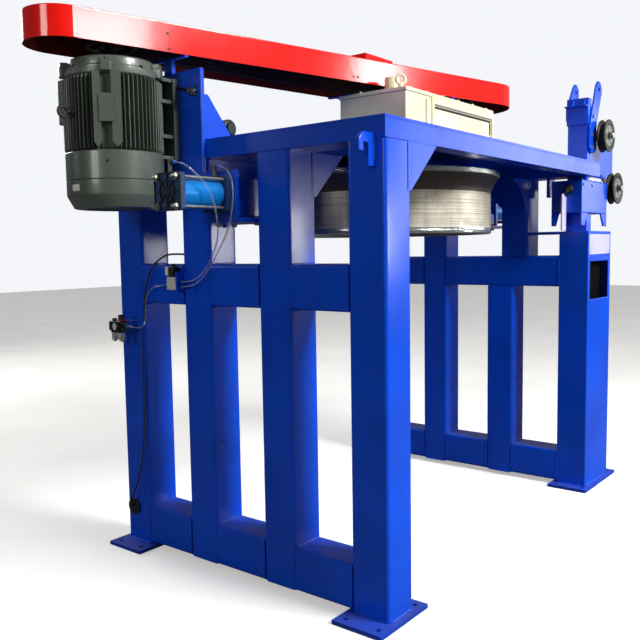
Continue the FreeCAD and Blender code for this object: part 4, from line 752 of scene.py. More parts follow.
def build_drive():
    """Grooved pulleys are turned profiles with a V for each belt. Each belt is a trapezium carried round
    the loop of both pulleys. Five bolts on each web show from below."""
    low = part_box("drive_belts")[0]
    small, large = (*MOTOR_AT, 0.125), (2.0, 0.8166, 0.220)
    count, pitch = 5, 0.0178
    first = low.z + 0.0085
    for node, body, (x, y, r) in (("motor_pulley", "motor_pulley", small),
            ("input_pulley", "input_pulley", large)):
        a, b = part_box(node)
        profile = [(0.034, b.z - 0.02), (0.055, b.z - 0.02), (0.055, b.z - 0.04), (r - 0.03, b.z - 0.04),
            (r - 0.025, b.z - 0.002), (r - 0.022, b.z), (r - 0.002, b.z), (r, b.z - 0.003)]
        for k in range(count - 1, -1, -1):
            z = first + k * pitch
            profile += [(r, z + 0.0072), (r - 0.0125, z + 0.0042), (r - 0.0125, z - 0.0042), (r, z - 0.0072)]
        rim = b.z - 0.096
        profile += [(r, rim + 0.003), (r - 0.002, rim), (r - 0.022, rim), (r - 0.028, rim + 0.036),
            (0.055, rim + 0.036), (0.055, rim + 0.004), (0.034, rim + 0.004)]
        wheel = Shape().lathe(profile, "z", (x, y, 0), 96, closed=True)
        core = 0.0298 if r < 0.2 else 0.0348
        wheel.lathe([(0, a.z), (core, a.z), (core, rim + 0.01), (0.05, rim + 0.01), (0.05, b.z - 0.01),
            (0, b.z - 0.01)], "z", (x, y, 0), 40)
        for k in range(5):
            angle = 2 * math.pi * k / 5
            reach = 0.045 if r < 0.2 else 0.075
            wheel.bolt((x + reach * math.cos(angle), y + reach * math.sin(angle), rim + 0.036), "z", -1,
                0.009, 0.008, False)
        make(wheel, node + "_turned", "iron", body, (node,), smooth=28)
    belts = Shape()
    for k in range(count):
        z = first + k * pitch
        rings = []
        for grow, dz in ((-0.0112, -0.0040), (0.0012, -0.0066), (0.0012, 0.0066), (-0.0112, 0.0040)):
            path = loop(small, large, grow, 36, 24)
            rings.append(lay("z", path[:, 0], path[:, 1], z + dz))
        grid = np.stack(rings, 1)
        belts.grid(np.concatenate([grid, grid[:1]]), caps=False)
    make(belts, "v_belts", "belt", instead=("drive_belts",), smooth=28)


def build_motor(sizes):
    """A finned motor: thin vertical fins stand on a cylinder, with gaps for the feet, the terminal box and
    a pad."""
    x, y = MOTOR_AT
    z0, z1 = BODY_LOW.z, BODY_HIGH.z
    body = Shape()
    body.lathe([(0, z0), (0.214, z0), (0.214, z0 + 0.134), (0.208, z0 + 0.140), (0.208, z1 - 0.050),
        (0.214, z1 - 0.034), (0.2295, z1 - 0.026), (0.2325, z1 - 0.020), (0.2325, z1), (0, z1)], "z",
        (x, y, 0), 96)
    gaps = ((0.0, 0.40), (math.pi / 2, 0.30), (PAD_ANGLE, 0.17))
    angles = [a for a in np.arange(sizes.fins) * 2 * math.pi / sizes.fins
              if all(abs((a - c + math.pi) % (2 * math.pi) - math.pi) > w for c, w in gaps)]
    fin_low, fin_high = z0 + 0.136, z1 - 0.026
    for a in angles:
        c, s = math.cos(a), math.sin(a)
        t = 0.0036
        corners = np.array([(0.204, -t), (0.238, -t * 0.55), (0.2398, 0), (0.238, t * 0.55), (0.204, t)])
        root = corners - (np.array([0, 1, 1, 1, 0])[:, None] * (0.016, 0))
        turn = np.array([(c, s), (-s, c)])
        section = np.stack([root @ turn, corners @ turn, corners @ turn, root @ turn]) + (x, y)
        heights = np.array([fin_low, fin_low + 0.012, fin_high - 0.012, fin_high])[:, None]
        body.grid(lay("z", section[..., 0], section[..., 1], heights))
    make(body, "motor_body_finned", "motor_fins", instead=("motor_body",), smooth=30)

    cowl = Shape()
    lo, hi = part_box("motor_fan_cowl")
    cowl.lathe([(0.2385, hi.z - 0.003), (0.2365, hi.z - 0.001), (0.224, hi.z), (0.224, lo.z + 0.06),
        (0.19, lo.z + 0.004), (0.145, lo.z + 0.004), (0.145, lo.z), (0.196, lo.z), (0.206, lo.z + 0.003),
        (0.2350, lo.z + 0.056), (0.2385, lo.z + 0.066)], "z", (x, y, 0), 96, closed=True)
    screw, plate = math.radians(224), math.radians(181)
    c, s = math.cos(screw), math.sin(screw)
    head = Shape().tube([(x + r * c, y + r * s, 2.096) for r in (0.236, 0.2405, 0.2415)],
        [0.006, 0.006, 0.004], 10)
    make(head, "cowl_screw", "blackened")
    cowl.lathe([(0.215, z0), (0.2365, z0 + 0.001), (0.2385, z0 + 0.003), (0.2385, z0 + 0.131),
        (0.2365, z0 + 0.134), (0.215, z0 + 0.134)], "z", (x, y, 0), 96, closed=True)
    for k in range(4):
        cowl.ring((x, y, lo.z + 0.003), "z", 0.03 + 0.03 * k, 0.0022, 48)
    for k in range(6):
        a = math.pi * k / 6
        c, s = math.cos(a), math.sin(a)
        corners = np.array([(-0.148, -0.002), (0.148, -0.002), (0.148, 0.002), (-0.148, 0.002)])
        cowl.prism(corners @ np.array([(c, s), (-s, c)]) + (x, y), "z", lo.z + 0.002, lo.z + 0.005, 0.0005)
    make(cowl, "motor_fan_cowl_pressed", "motor", instead=("motor_fan_cowl",), smooth=30)
    turns = plate + np.linspace(-0.11, 0.11, 6)
    label = [np.stack([x + r * np.cos(turns), y + r * np.sin(turns), np.full(6, z)], 1) for r, z in (
        (0.2380, 1.960), (0.2394, 1.961), (0.2394, 1.991), (0.2380, 1.992))]
    make(Shape().grid(np.stack(label), wrap=False, caps=False), "cowl_blank_plate", "white")
    fan = Shape().lathe([(0, lo.z + 0.02), (0.14, lo.z + 0.02), (0.16, lo.z + 0.05), (0.22, lo.z + 0.06),
        (0.22, lo.z + 0.07), (0, lo.z + 0.07)], "z", (x, y, 0), 48)
    make(fan, "motor_fan_shadow", "plastic")
    shield = Shape()
    lo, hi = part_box("motor_end_shield")
    shield.lathe([(0, lo.z), (0.222, lo.z), (0.224, lo.z + 0.003), (0.224, lo.z + 0.010),
        (0.216, lo.z + 0.014), (0.213, lo.z + 0.018), (0.212, hi.z - 0.016), (0.209, hi.z - 0.007),
        (0.202, hi.z - 0.002), (0.190, hi.z), (0.120, hi.z), (0.116, hi.z - 0.006), (0.090, hi.z - 0.006),
        (0, hi.z - 0.006)], "z", (x, y, 0), 96)
    make(shield, "motor_end_shield_cast", "motor", instead=("motor_end_shield",), smooth=30)
    bolts = Shape()
    for k in range(8):
        a = 2 * math.pi * k / 8
        bolts.bolt((x + 0.222 * math.cos(a), y + 0.222 * math.sin(a), lo.z + 0.010), "z", 1, 0.008, 0.007)
        bolts.bolt((x + 0.15 * math.cos(a), y + 0.15 * math.sin(a), hi.z), "z", 1, 0.007, 0.005)
    make(bolts, "motor_shield_bolts", "blackened")
    soften("motor_feet", 0.006, "motor", segments=3)
    soften("motor_terminal_box", 0.006, "motor", segments=3)
    soften("motor_plate", 0.005, "blue_plate", segments=3)

    # A bare plate on two upright ribs, case lugs, and a lifting eye.
    def against(angle, points):
        """Points given as (across, out from the axis) turned to stand at an angle round the motor."""
        c, s = math.cos(angle), math.sin(angle)
        p = np.asarray(points, float)
        return np.array([x, y]) + p[:, :1] * np.array([-s, c]) + p[:, 1:] * np.array([c, s])

    ribs, pad = Shape(), Shape()
    for a, half in ((0.044, 0.022), (-0.046, 0.017)):
        full = against(PAD_ANGLE, [(a - half, 0.205), (a + half, 0.205), (a + half, 0.247),
            (a - half, 0.247)])
        point = against(PAD_ANGLE,
            [(a - 0.002, 0.205), (a + 0.002, 0.205), (a + 0.002, 0.244), (a - 0.002, 0.244)])
        section = np.stack([point, full, full, full])
        heights = np.array([2.160, 2.182, 2.496, 2.506])[:, None]
        ribs.grid(lay("z", section[..., 0], section[..., 1], heights))
    ribs.prism(against(PAD_ANGLE, [(-0.032, 0.205), (0.032, 0.205), (0.032, 0.216), (-0.032, 0.216)]), "z",
        2.16, 2.50, 0.002)
    for turn in (0.0, 1.31, -1.31):
        block = [(-0.026, 0.205), (0.026, 0.205), (0.026, 0.244), (0.020, 0.252), (-0.020, 0.252),
            (-0.026, 0.244)]
        ribs.prism(against(PAD_ANGLE + turn, block), "z", 2.508, 2.556, 0.004)
        for a in (-0.014, 0.014):
            end = [(a - 0.011, 0.21), (a + 0.011, 0.21), (a + 0.011, 0.247), (a - 0.011, 0.247)]
            ribs.prism(against(PAD_ANGLE + turn, end), "z", 2.553, 2.578, 0.003)
    make(ribs, "motor_case_ribs_and_lugs", "motor")
    pad.prism(against(PAD_ANGLE, [(-0.036, 0.248), (0.036, 0.248), (0.036, 0.2515), (-0.036, 0.2515)]), "z",
        2.275, 2.405, 0.0008)
    make(pad, "motor_bare_plate", "motor")
    eye = Shape()
    a = EYE_ANGLE
    c, s = math.cos(a), math.sin(a)
    eye.tube([(x + r * c, y + r * s, 2.33) for r in (0.200, 0.262)], 0.013, 16)
    eye.tube([(x + r * c, y + r * s, 2.33) for r in (0.236, 0.246)], 0.024, 24)
    turn = np.linspace(0, 2 * math.pi, 33)[:-1]
    out = 0.283 + 0.024 * np.cos(turn)
    eye.tube(np.stack([x + out * c, y + out * s, 2.33 + 0.024 * np.sin(turn)], 1), 0.0075, 10, closed=True)
    make(eye, "motor_lifting_eye", "iron")
    hold = Shape()
    for yy in (y - 0.165, y + 0.165):
        for z in (2.19, 2.33, 2.47):
            hold.bolt((-0.1, yy, z), "x", 1, 0.015, 0.013)
    start, end = np.array([-0.135, 1.200, 2.506]), np.array([-0.135, 0.994, 2.448])
    hold.tube([start, end], 0.0075, 12)
    hold.box((-0.156, 1.005, 2.430), (-0.125, 1.017, 2.476), 0.003)
    make(hold, "motor_fixing_bolts", "blackened")
    nut = Shape().tube([start + (end - start) * t for t in (0.80, 0.86)], 0.016, 6)
    nut.tube([start + (end - start) * t for t in (0.94, 0.985)], 0.014, 6)
    make(nut, "belt_tension_nuts", "zinc")
    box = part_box("motor_terminal_box")
    cover = Shape().box((box[0].x + 0.006, box[1].y - 0.012, box[0].z + 0.006),
        (box[1].x - 0.006, box[1].y + 0.002, box[1].z - 0.006), 0.004, "y", 0.002)
    for xx in (box[0].x + 0.02, box[1].x - 0.02):
        for z in (box[0].z + 0.02, box[1].z - 0.02):
            cover.bolt((xx, box[1].y + 0.002, z), "y", 1, 0.005, 0.004, False)
    make(cover, "terminal_box_cover", "motor")


def build_press(side):
    """A pneumatic cylinder: a turned barrel between two square caps held by four tie rods, a ribbed rear
    face, the bracket, the fork with its bright rod, and a crowned roller."""
    far = side == "far"
    flip = -1 if far else 1

    def at(x):
        return FAR_HIGH.x + POSTS_LOW.x - x if far else x

    def span(a, b):
        return tuple(sorted((at(a), at(b))))

    y, z = DRUM_AT[1], 1.932
    rear, cap, front, flange, half = -0.508, 0.04, -0.220, -0.185, 0.085
    a, b = rear + cap, front
    barrel = Shape().lathe([(0.064, flip * a), (0.074, flip * a), (0.074, flip * (a + 0.002)),
        (0.0735, flip * (a + 0.004)), (0.0735, flip * (b - 0.004)), (0.074, flip * (b - 0.002)),
        (0.074, flip * b), (0.064, flip * b)], "x", (at(0), y, z), 72, closed=True)
    make(barrel, side + "_barrel_tube", "barrel", instead=(side + "_cylinder_barrel",), smooth=40)
    caps, dark, rods = Shape(), Shape(), Shape()
    corners = [(y - half, z - half), (y + half, z - half), (y + half, z + half), (y - half, z + half)]
    for s0, s1 in ((rear + 0.006, a), (front, flange)):
        lo, hi = span(s0, s1)
        caps.prism(rounded(corners, 0.016), "x", lo, hi, 0.002)
    make(caps, side + "_cylinder_caps", "slate", instead=(side + "_cylinder_ends",))
    lo, hi = span(rear, rear + 0.008)
    ring = 0.052
    dark.lathe([(ring - 0.006, lo - at(0)), (ring, lo - at(0)), (ring, hi - at(0)),
        (ring - 0.006, hi - at(0))], "x", (at(0), y, z), 40, closed=True)
    dark.lathe([(0, lo - at(0)), (0.02, lo - at(0)), (0.02, hi - at(0)), (0, hi - at(0))], "x",
        (at(0), y, z), 24)
    for k in range(8):
        t = math.pi / 4 * k
        c, s = math.cos(t), math.sin(t)
        reach = half * (1.36 if k % 2 else 0.97)
        bar = np.array([(0.018, -0.005), (reach, -0.004), (reach, 0.004), (0.018, 0.005)])
        dark.prism(bar @ np.array([(c, s), (-s, c)]) + (y, z), "x", lo, hi, 0.001)
    for u, v in ((0, 1), (0, -1), (1, 0), (-1, 0)):
        if u:
            e0 = (y + u * half - 0.004, z - half + 0.014)
            e1 = (y + u * half + 0.0, z + half - 0.014)
            e0, e1 = (min(e0[0], e1[0]) - (0.003 if u < 0 else 0), e0[1]), (max(e0[0], e1[0]), e1[1])
        else:
            e0 = (y - half + 0.014, z + v * half - (0.006 if v > 0 else 0))
            e1 = (y + half - 0.014, z + v * half + (0 if v > 0 else 0.006))
        dark.box((lo, min(e0[0], e1[0]), min(e0[1], e1[1])), (hi, max(e0[0], e1[0]), max(e0[1], e1[1])),
            0.001, "x", 0.0006)
    make(dark, side + "_cap_ribs", "slate_dark")
    off = 0.066
    for sy in (-1, 1):
        for sz in (-1, 1):
            lo, hi = span(rear - 0.028, flange)
            rods.tube([(lo, y + sy * off, z + sz * off), (hi, y + sy * off, z + sz * off)], 0.0075, 12)
            rods.bolt((at(rear), y + sy * off, z + sz * off), "x", -flip, 0.014, 0.012)
    make(rods, side + "_tie_rods", "zinc")
    soften(side + "_press_bracket", 0.003, "blue_plate")
    bolts = Shape()
    for sy in (-1, 1):
        for sz in (-1, 1):
            bolts.bolt((at(-0.16), y + sy * 0.092, z + sz * 0.088), "x", flip, 0.013, 0.010)
            bolts.bolt((at(0.05 if sz > 0 else -0.06), y + sy * 0.13, 1.818), "z", 1, 0.012, 0.009)
            bolts.bolt((at(0.05 if sz > 0 else -0.06), y + sy * 0.13, 1.798), "z", -1, 0.013, 0.012)
    make(bolts, side + "_bracket_bolts", "zinc")
    soften(side + "_press_fork", 0.002, "steel", side + "_press")
    lo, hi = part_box(side + "_press_roller")
    cx = (lo.x + hi.x) / 2
    r = (hi.x - lo.x) / 2
    roller = Shape().lathe([(0.0183, lo.z), (0.03, lo.z), (0.03, lo.z + 0.004), (r - 0.012, lo.z + 0.004),
        (r - 0.006, lo.z + 0.001), (r - 0.001, lo.z + 0.008), (r, lo.z + 0.03), (r, hi.z - 0.03),
        (r - 0.001, hi.z - 0.008), (r - 0.006, hi.z - 0.001), (r - 0.012, hi.z - 0.004),
        (0.03, hi.z - 0.004), (0.03, hi.z), (0.0183, hi.z)], "z", (cx, y, 0), 64, closed=True)
    make(roller, side + "_roller_turned", "steel", side + "_roller", (side + "_press_roller",), smooth=30)


def build_die_box():
    """The open box that holds the die, its feet and clamp, with the fixings that show."""
    soften("die_box", 0.004, "blue_plate", segments=3)
    soften("die_box_feet", 0.003, "blue_plate")
    # The clamp bar takes the pale lilac painted reflection of glare.
    soften("die_clamp", 0.003, "painted_glare")
    low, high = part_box("die_box")
    inner = Shape()
    cx = low.x + 0.12
    cy = (low.y + high.y) / 2
    inner.box((cx - 0.04, low.y + 0.012, low.z + 0.012), (cx + 0.04, high.y - 0.012, high.z - 0.05), 0.006)
    inner.lathe([(0.0, 0.0), (0.045, 0.0), (0.045, -0.02), (0.03, -0.026), (0.012, -0.012), (0, -0.012)],
        "x", (cx - 0.04, cy, low.z + 0.1), 32)
    make(inner, "die_holder", "steel")
    lid = Shape().box((low.x + 0.236, low.y + 0.006, high.z - 0.001),
        (high.x - 0.006, high.y - 0.006, high.z + 0.006), 0.004)
    make(lid, "die_box_lid", "blue_plate")
    bolts = Shape()
    for x in (low.x + 0.26, high.x - 0.03):
        for y in (low.y + 0.03, high.y - 0.03):
            bolts.bolt((x, y, high.z + 0.006), "z", 1, 0.009, 0.007)
    for x in (low.x + 0.03, low.x + 0.2):
        bolts.bolt((x, low.y, high.z - 0.03), "y", -1, 0.008, 0.006)
    make(bolts, "die_box_bolts", "zinc")
    knob = Shape().lathe([(0, low.x), (0.027, low.x), (0.029, low.x - 0.004), (0.029, low.x - 0.036),
        (0.026, low.x - 0.042), (0.021, low.x - 0.044), (0.021, low.x - 0.036), (0, low.x - 0.036)], "x",
        (0, 0.020, 2.038), 32)
    make(knob, "die_screw_knob", "plastic")
    face = Shape().lathe([(0, low.x - 0.035), (0.020, low.x - 0.035), (0.020, low.x - 0.043),
        (0.012, low.x - 0.046), (0, low.x - 0.046)], "x", (0, 0.020, 2.038), 24)
    make(face, "die_screw_face", "brass")


def build_guide():
    """Column, head, ears and wheel plate keep their plates with rounded edges. Each wheel is a turned
    profile: a deep groove, two rims, a web and a boss, with a paler cover disc on its front."""
    soften("guide_column", 0.006, "blue_plate", segments=3)
    soften("guide_head", 0.002, "blue_plate")
    soften("guide_ears", 0.003, "blue_plate")
    soften("wheel_plate", 0.003, "blue_plate")
    soften("guide_wheel_axles", 0.0015, "steel")
    bolts = Shape()
    for name in ("upper", "lower"):
        low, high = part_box(name + "_guide_wheel")
        r = (high.x - low.x) / 2
        x, z, y = low.x + r, low.z + r, (low.y + high.y) / 2
        w = (high.y - low.y) / 2
        profile = [(0.0142, -w + 0.004), (0.030, -w + 0.004), (0.032, -w + 0.010), (0.070, -w + 0.014),
            (0.078, -w + 0.006), (r - 0.010, -w), (r - 0.002, -w + 0.002), (r, -w + 0.006),
            (r - 0.001, -w + 0.011), (r - 0.022, -0.006), (r - 0.025, 0), (r - 0.022, 0.006),
            (r - 0.001, w - 0.011), (r, w - 0.006), (r - 0.002, w - 0.002), (r - 0.010, w),
            (0.078, w - 0.006), (0.070, w - 0.014), (0.032, w - 0.010), (0.030, w - 0.004),
            (0.0142, w - 0.004)]
        wheel = Shape().lathe(profile, "y", (x, y, z), 80, closed=True)
        make(wheel, name + "_wheel_turned", "iron", name + "_wheel", (name + "_guide_wheel",), smooth=30)
        disc = Shape().lathe([(0.024, -w + 0.006), (0.072, -w + 0.006), (0.074, -w + 0.009),
            (0.074, -w + 0.015), (0.024, -w + 0.015)], "y", (x, y, z), 48, closed=True)
        for k in range(4):
            a = 2 * math.pi * k / 4 + 0.5
            disc.bolt((x + 0.055 * math.cos(a), y - w + 0.006, z + 0.055 * math.sin(a)), "y", -1, 0.006,
                0.004, False)
        make(disc, name + "_wheel_disc", "disc", name + "_wheel", smooth=30)
    for x, z in ((2.65, 2.17), (2.65, 2.44), (2.80, 2.17)):
        bolts.bolt((x, 0.0, z), "y", -1, 0.010, 0.008)
    for x, z in ((2.60, 2.34), (2.60, 2.42), (2.63, 2.55)):
        bolts.bolt((x, -0.018, z), "y", -1, 0.010, 0.008)
    for y, z in ((0.03, 2.13), (0.11, 2.13)):
        bolts.bolt((2.56, y, z), "x", -1, 0.010, 0.008)
    make(bolts, "guide_bolts", "zinc")
    seam = Shape()
    seam.weld((2.555, -0.006, 2.494), (2.615, -0.006, 2.494), 0.004).weld((2.555, -0.006, 2.494),
        (2.555, 0.144, 2.494), 0.004)
    make(seam, "guide_welds", "weld", smooth=80)


def build_air():
    """Valve, filter set and fittings, each turned or boxed part with its seams, plus the pump on the deck."""
    low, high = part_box("air_valve")
    soft = Shape()
    soft.box((low.x, 1.160, low.z), (high.x, 1.232, low.z + 0.066), 0.003)
    for z in (low.z + 0.008, low.z + 0.058):
        soft.bolt((low.x, 1.170, z), "x", -1, 0.004, 0.003, False)
        soft.bolt((low.x, 1.222, z), "x", -1, 0.004, 0.003, False)
    make(soft, "valve_block_machined", "silver", instead=("air_valve",))
    coil = Shape().box((-0.155, 1.180, low.z + 0.068), (-0.113, 1.219, low.z + 0.120), 0.006)
    coil.lathe([(0, low.z + 0.120), (0.012, low.z + 0.120), (0.012, high.z - 0.004), (0.009, high.z),
        (0, high.z)], "z", (-0.134, 1.2, 0), 20)
    make(coil, "valve_coil_moulded", "plastic")
    plug = Shape().box((-0.154, 1.222, 1.541), (-0.114, 1.246, 1.587), 0.004)
    plug.box((-0.148, 1.226, 1.537), (-0.120, 1.242, 1.543), 0.003)
    make(plug, "valve_connector", "white")
    soften("air_brackets", 0.002, "blue_plate")
    dress("air_fittings", "nickel")
    collets = Shape()
    ports = (((-0.483, 0.7725, 2.062), "y", -1), ((-0.210, 0.7725, 2.062), "y", -1),
        ((-0.134, 1.136, 1.508), "y", -1), ((-0.134, 1.136, 1.482), "y", -1),
        ((-0.134, 1.248, 1.490), "y", 1), ((-0.198, 1.524, 1.265), "y", -1))
    for p, axis, s in ports:
        collets.lathe([(0.0042, 0), (0.0085, 0), (0.0085, 0.006 * s), (0.0068, 0.008 * s),
            (0.0068, 0.011 * s), (0.0042, 0.011 * s)], axis, p, 24, closed=True)
    make(collets, "tube_collets", "collet")
    rubber = Shape()
    rubber.lathe([(0.0, 0), (0.046, 0), (0.046, -0.010), (0.042, -0.014), (0.018, -0.0155), (0.0, -0.0155)],
        "x", (-0.1, 1.630, 0.217), 48)
    rubber.lathe([(0.0, 0.0255), (0.0145, 0.0255), (0.0145, 0.010), (0.018, 0.009), (0.018, 0), (0, 0)],
        "y", (-0.04, 1.166, 1.648), 6)
    make(rubber, "cable_grommet_and_gland", "rubber")

    x, z = -0.198, 1.238
    body = Shape()
    for y, tall in ((1.566, 0.054), (1.626, 0.052)):
        body.box((x - 0.024, y - 0.023, z), (x + 0.024, y + 0.023, z + tall), 0.006)
        body.lathe([(0, 0), (0.021, 0), (0.021, -0.012), (0, -0.012)], "z", (x, y, z + 0.001), 28)
    body.box((x - 0.014, 1.586, z + 0.012), (x + 0.014, 1.606, z + 0.044), 0.003)
    profile = [(0, z + 0.052), (0.016, z + 0.052), (0.016, z + 0.060), (0.018, z + 0.062),
        (0.018, z + 0.084), (0.015, z + 0.088), (0, z + 0.088)]
    body.lathe(profile, "z", (x, 1.566, 0), 24)
    body.lathe([(0, z + 0.05), (0.014, z + 0.05), (0.013, z + 0.066), (0, z + 0.068)], "z", (x, 1.626, 0), 20)
    body.lathe([(0, x - 0.024), (0.014, x - 0.024), (0.022, x - 0.034), (0.022, x - 0.050),
        (0.0195, x - 0.050), (0.0195, x - 0.046), (0, x - 0.046)], "x", (0, 1.566, z + 0.027), 40)
    make(body, "service_unit_moulded", "plastic", instead=("air_service_unit",))
    face = Shape().lathe([(0, x - 0.0462), (0.0193, x - 0.0462), (0.0193, x - 0.0472), (0, x - 0.0472)],
        "x", (0, 1.566, z + 0.027), 40)
    make(face, "gauge_face", "white")
    needle = Shape()
    for k in range(11):
        t = math.radians(-45 + 27 * k)
        c, s = math.cos(t), math.sin(t)
        mark = np.array([(0.0135, -0.0004), (0.0175, -0.0004), (0.0175, 0.0004), (0.0135, 0.0004)])
        needle.prism(mark @ np.array([(c, s), (-s, c)]) + (1.566, z + 0.027), "x", x - 0.0478, x - 0.0471,
            0.0001)
    t = math.radians(120)
    c, s = math.cos(t), math.sin(t)
    hand = np.array([(-0.005, -0.0007), (0.0145, -0.0002), (0.0145, 0.0002), (-0.005, 0.0007)])
    needle.prism(hand @ np.array([(c, s), (-s, c)]) + (1.566, z + 0.027), "x", x - 0.0486, x - 0.0480, 0.0001)
    make(needle, "gauge_marks", "blackened")
    red = Shape().lathe([(0.0155, z + 0.0555), (0.0195, z + 0.0555), (0.0195, z + 0.0612),
        (0.0155, z + 0.0612)], "z", (x, 1.566, 0), 32, closed=True)
    make(red, "regulator_lock_ring", "red_ring")
    bowls = Shape()
    for y in (1.566, 1.626):
        outer = [(0.0185, z - 0.011), (0.0190, z - 0.013), (0.0190, z - 0.046), (0.0150, z - 0.056),
            (0.006, z - 0.0600), (0, z - 0.0600)]
        inner = [(0, z - 0.0575), (0.005, z - 0.0575), (0.0135, z - 0.054), (0.0170, z - 0.045),
            (0.0170, z - 0.011)]
        bowls.lathe(outer + inner, "z", (x, y, 0), 32, closed=True)
    make(bowls, "service_unit_bowls", "bowl", instead=("air_bowls",), smooth=40)
    stems = Shape()
    for y in (1.566, 1.626):
        stems.lathe([(0, z - 0.062), (0.005, z - 0.062), (0.005, z - 0.052), (0.010, z - 0.050),
            (0.010, z - 0.034), (0.004, z - 0.030), (0.004, z - 0.01), (0, z - 0.01)], "z", (x, y, 0), 16)
    make(stems, "bowl_drains", "brass")

    low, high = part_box("deck_pump")
    cx, cz = (low.x + high.x) / 2, high.z - 0.05
    pump = Shape()
    profile = [(0, low.y), (0.030, low.y), (0.034, low.y + 0.004), (0.034, low.y + 0.014),
        (0.046, low.y + 0.016)]
    for k in range(7):
        s = low.y + 0.022 + 0.012 * k
        profile += [(0.043, s), (0.0495, s + 0.001), (0.0495, s + 0.006), (0.043, s + 0.007)]
    profile += [(0.046, high.y - 0.026), (0.049, high.y - 0.022), (0.049, high.y - 0.004), (0.044, high.y),
        (0, high.y)]
    pump.lathe(profile, "y", (cx, 0, cz), 48)
    pump.box((low.x + 0.012, low.y + 0.022, low.z + 0.010), (high.x - 0.012, high.y - 0.022, cz - 0.03),
        0.006)
    pump.box((low.x + 0.010, low.y + 0.020, low.z), (high.x - 0.010, high.y - 0.020, low.z + 0.012), 0.004)
    make(pump, "deck_pump_body", "olive", instead=("deck_pump",), smooth=30)


ROUTES = {"air_tube_rear": [(-483, 772.5, 2062), (-480, 722, 2058), (-432, 693, 2016), (-364, 689, 1958),
    (-318, 691, 1880), (-298, 697, 1795), (-262, 732, 1730), (-224, 795, 1672), (-190, 860, 1624),
    (-160, 932, 1572), (-148, 1010, 1526), (-135, 1084, 1509), (-134, 1136, 1508)],
    "air_tube_front": [(-210, 772.5, 2062), (-209, 724, 2056), (-206, 688, 2004), (-214, 672, 1930),
    (-228, 670, 1850), (-231, 688, 1780), (-212, 740, 1722), (-194, 803, 1664), (-168, 868, 1610),
    (-142, 945, 1558), (-130, 1015, 1508), (-133, 1082, 1484), (-134, 1136, 1482)],
    "air_tube_supply": [(-134, 1248, 1490), (-134, 1300, 1489), (-131, 1352, 1483), (-120, 1412, 1460),
    (-111, 1462, 1412), (-111, 1474, 1345), (-124, 1450, 1286), (-168, 1438, 1257), (-197, 1470, 1260),
    (-198, 1524, 1265)], "power_cable": [(-40, 1192, 1648), (-42, 1250, 1651), (-76, 1312, 1651),
    (-112, 1362, 1614), (-125, 1402, 1562), (-129, 1432, 1495), (-128, 1452, 1415), (-126, 1464, 1325),
    (-121, 1482, 1210), (-117, 1492, 1085), (-115, 1501, 955), (-115, 1504, 820), (-117, 1507, 690),
    (-119, 1516, 570), (-124, 1540, 455), (-131, 1573, 350), (-158, 1602, 268), (-117, 1628, 221)],}


def build_cord(name, diameter):
    """A smooth NURBS line through the route's control points, with a round section."""
    points = np.array(ROUTES[name]) / 1000
    curve = bpy.data.curves.new(name + "_line", "CURVE")
    curve.dimensions = "3D"
    curve.bevel_depth = diameter / 2
    curve.bevel_resolution = 4
    curve.resolution_u = 12
    curve.use_fill_caps = True
    spline = curve.splines.new("NURBS")
    spline.points.add(len(points) - 1)
    spline.points.foreach_set("co", np.c_[points, np.ones(len(points))].ravel())
    spline.order_u = 3
    spline.use_endpoint_u = True
    curve.materials.append(FINISHES["cable" if name == "power_cable" else "hose"])
    obj = bpy.data.objects.new(name + "_line", curve)
    bpy.context.scene.collection.objects.link(obj)
    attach(obj, "root")
    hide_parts(name)


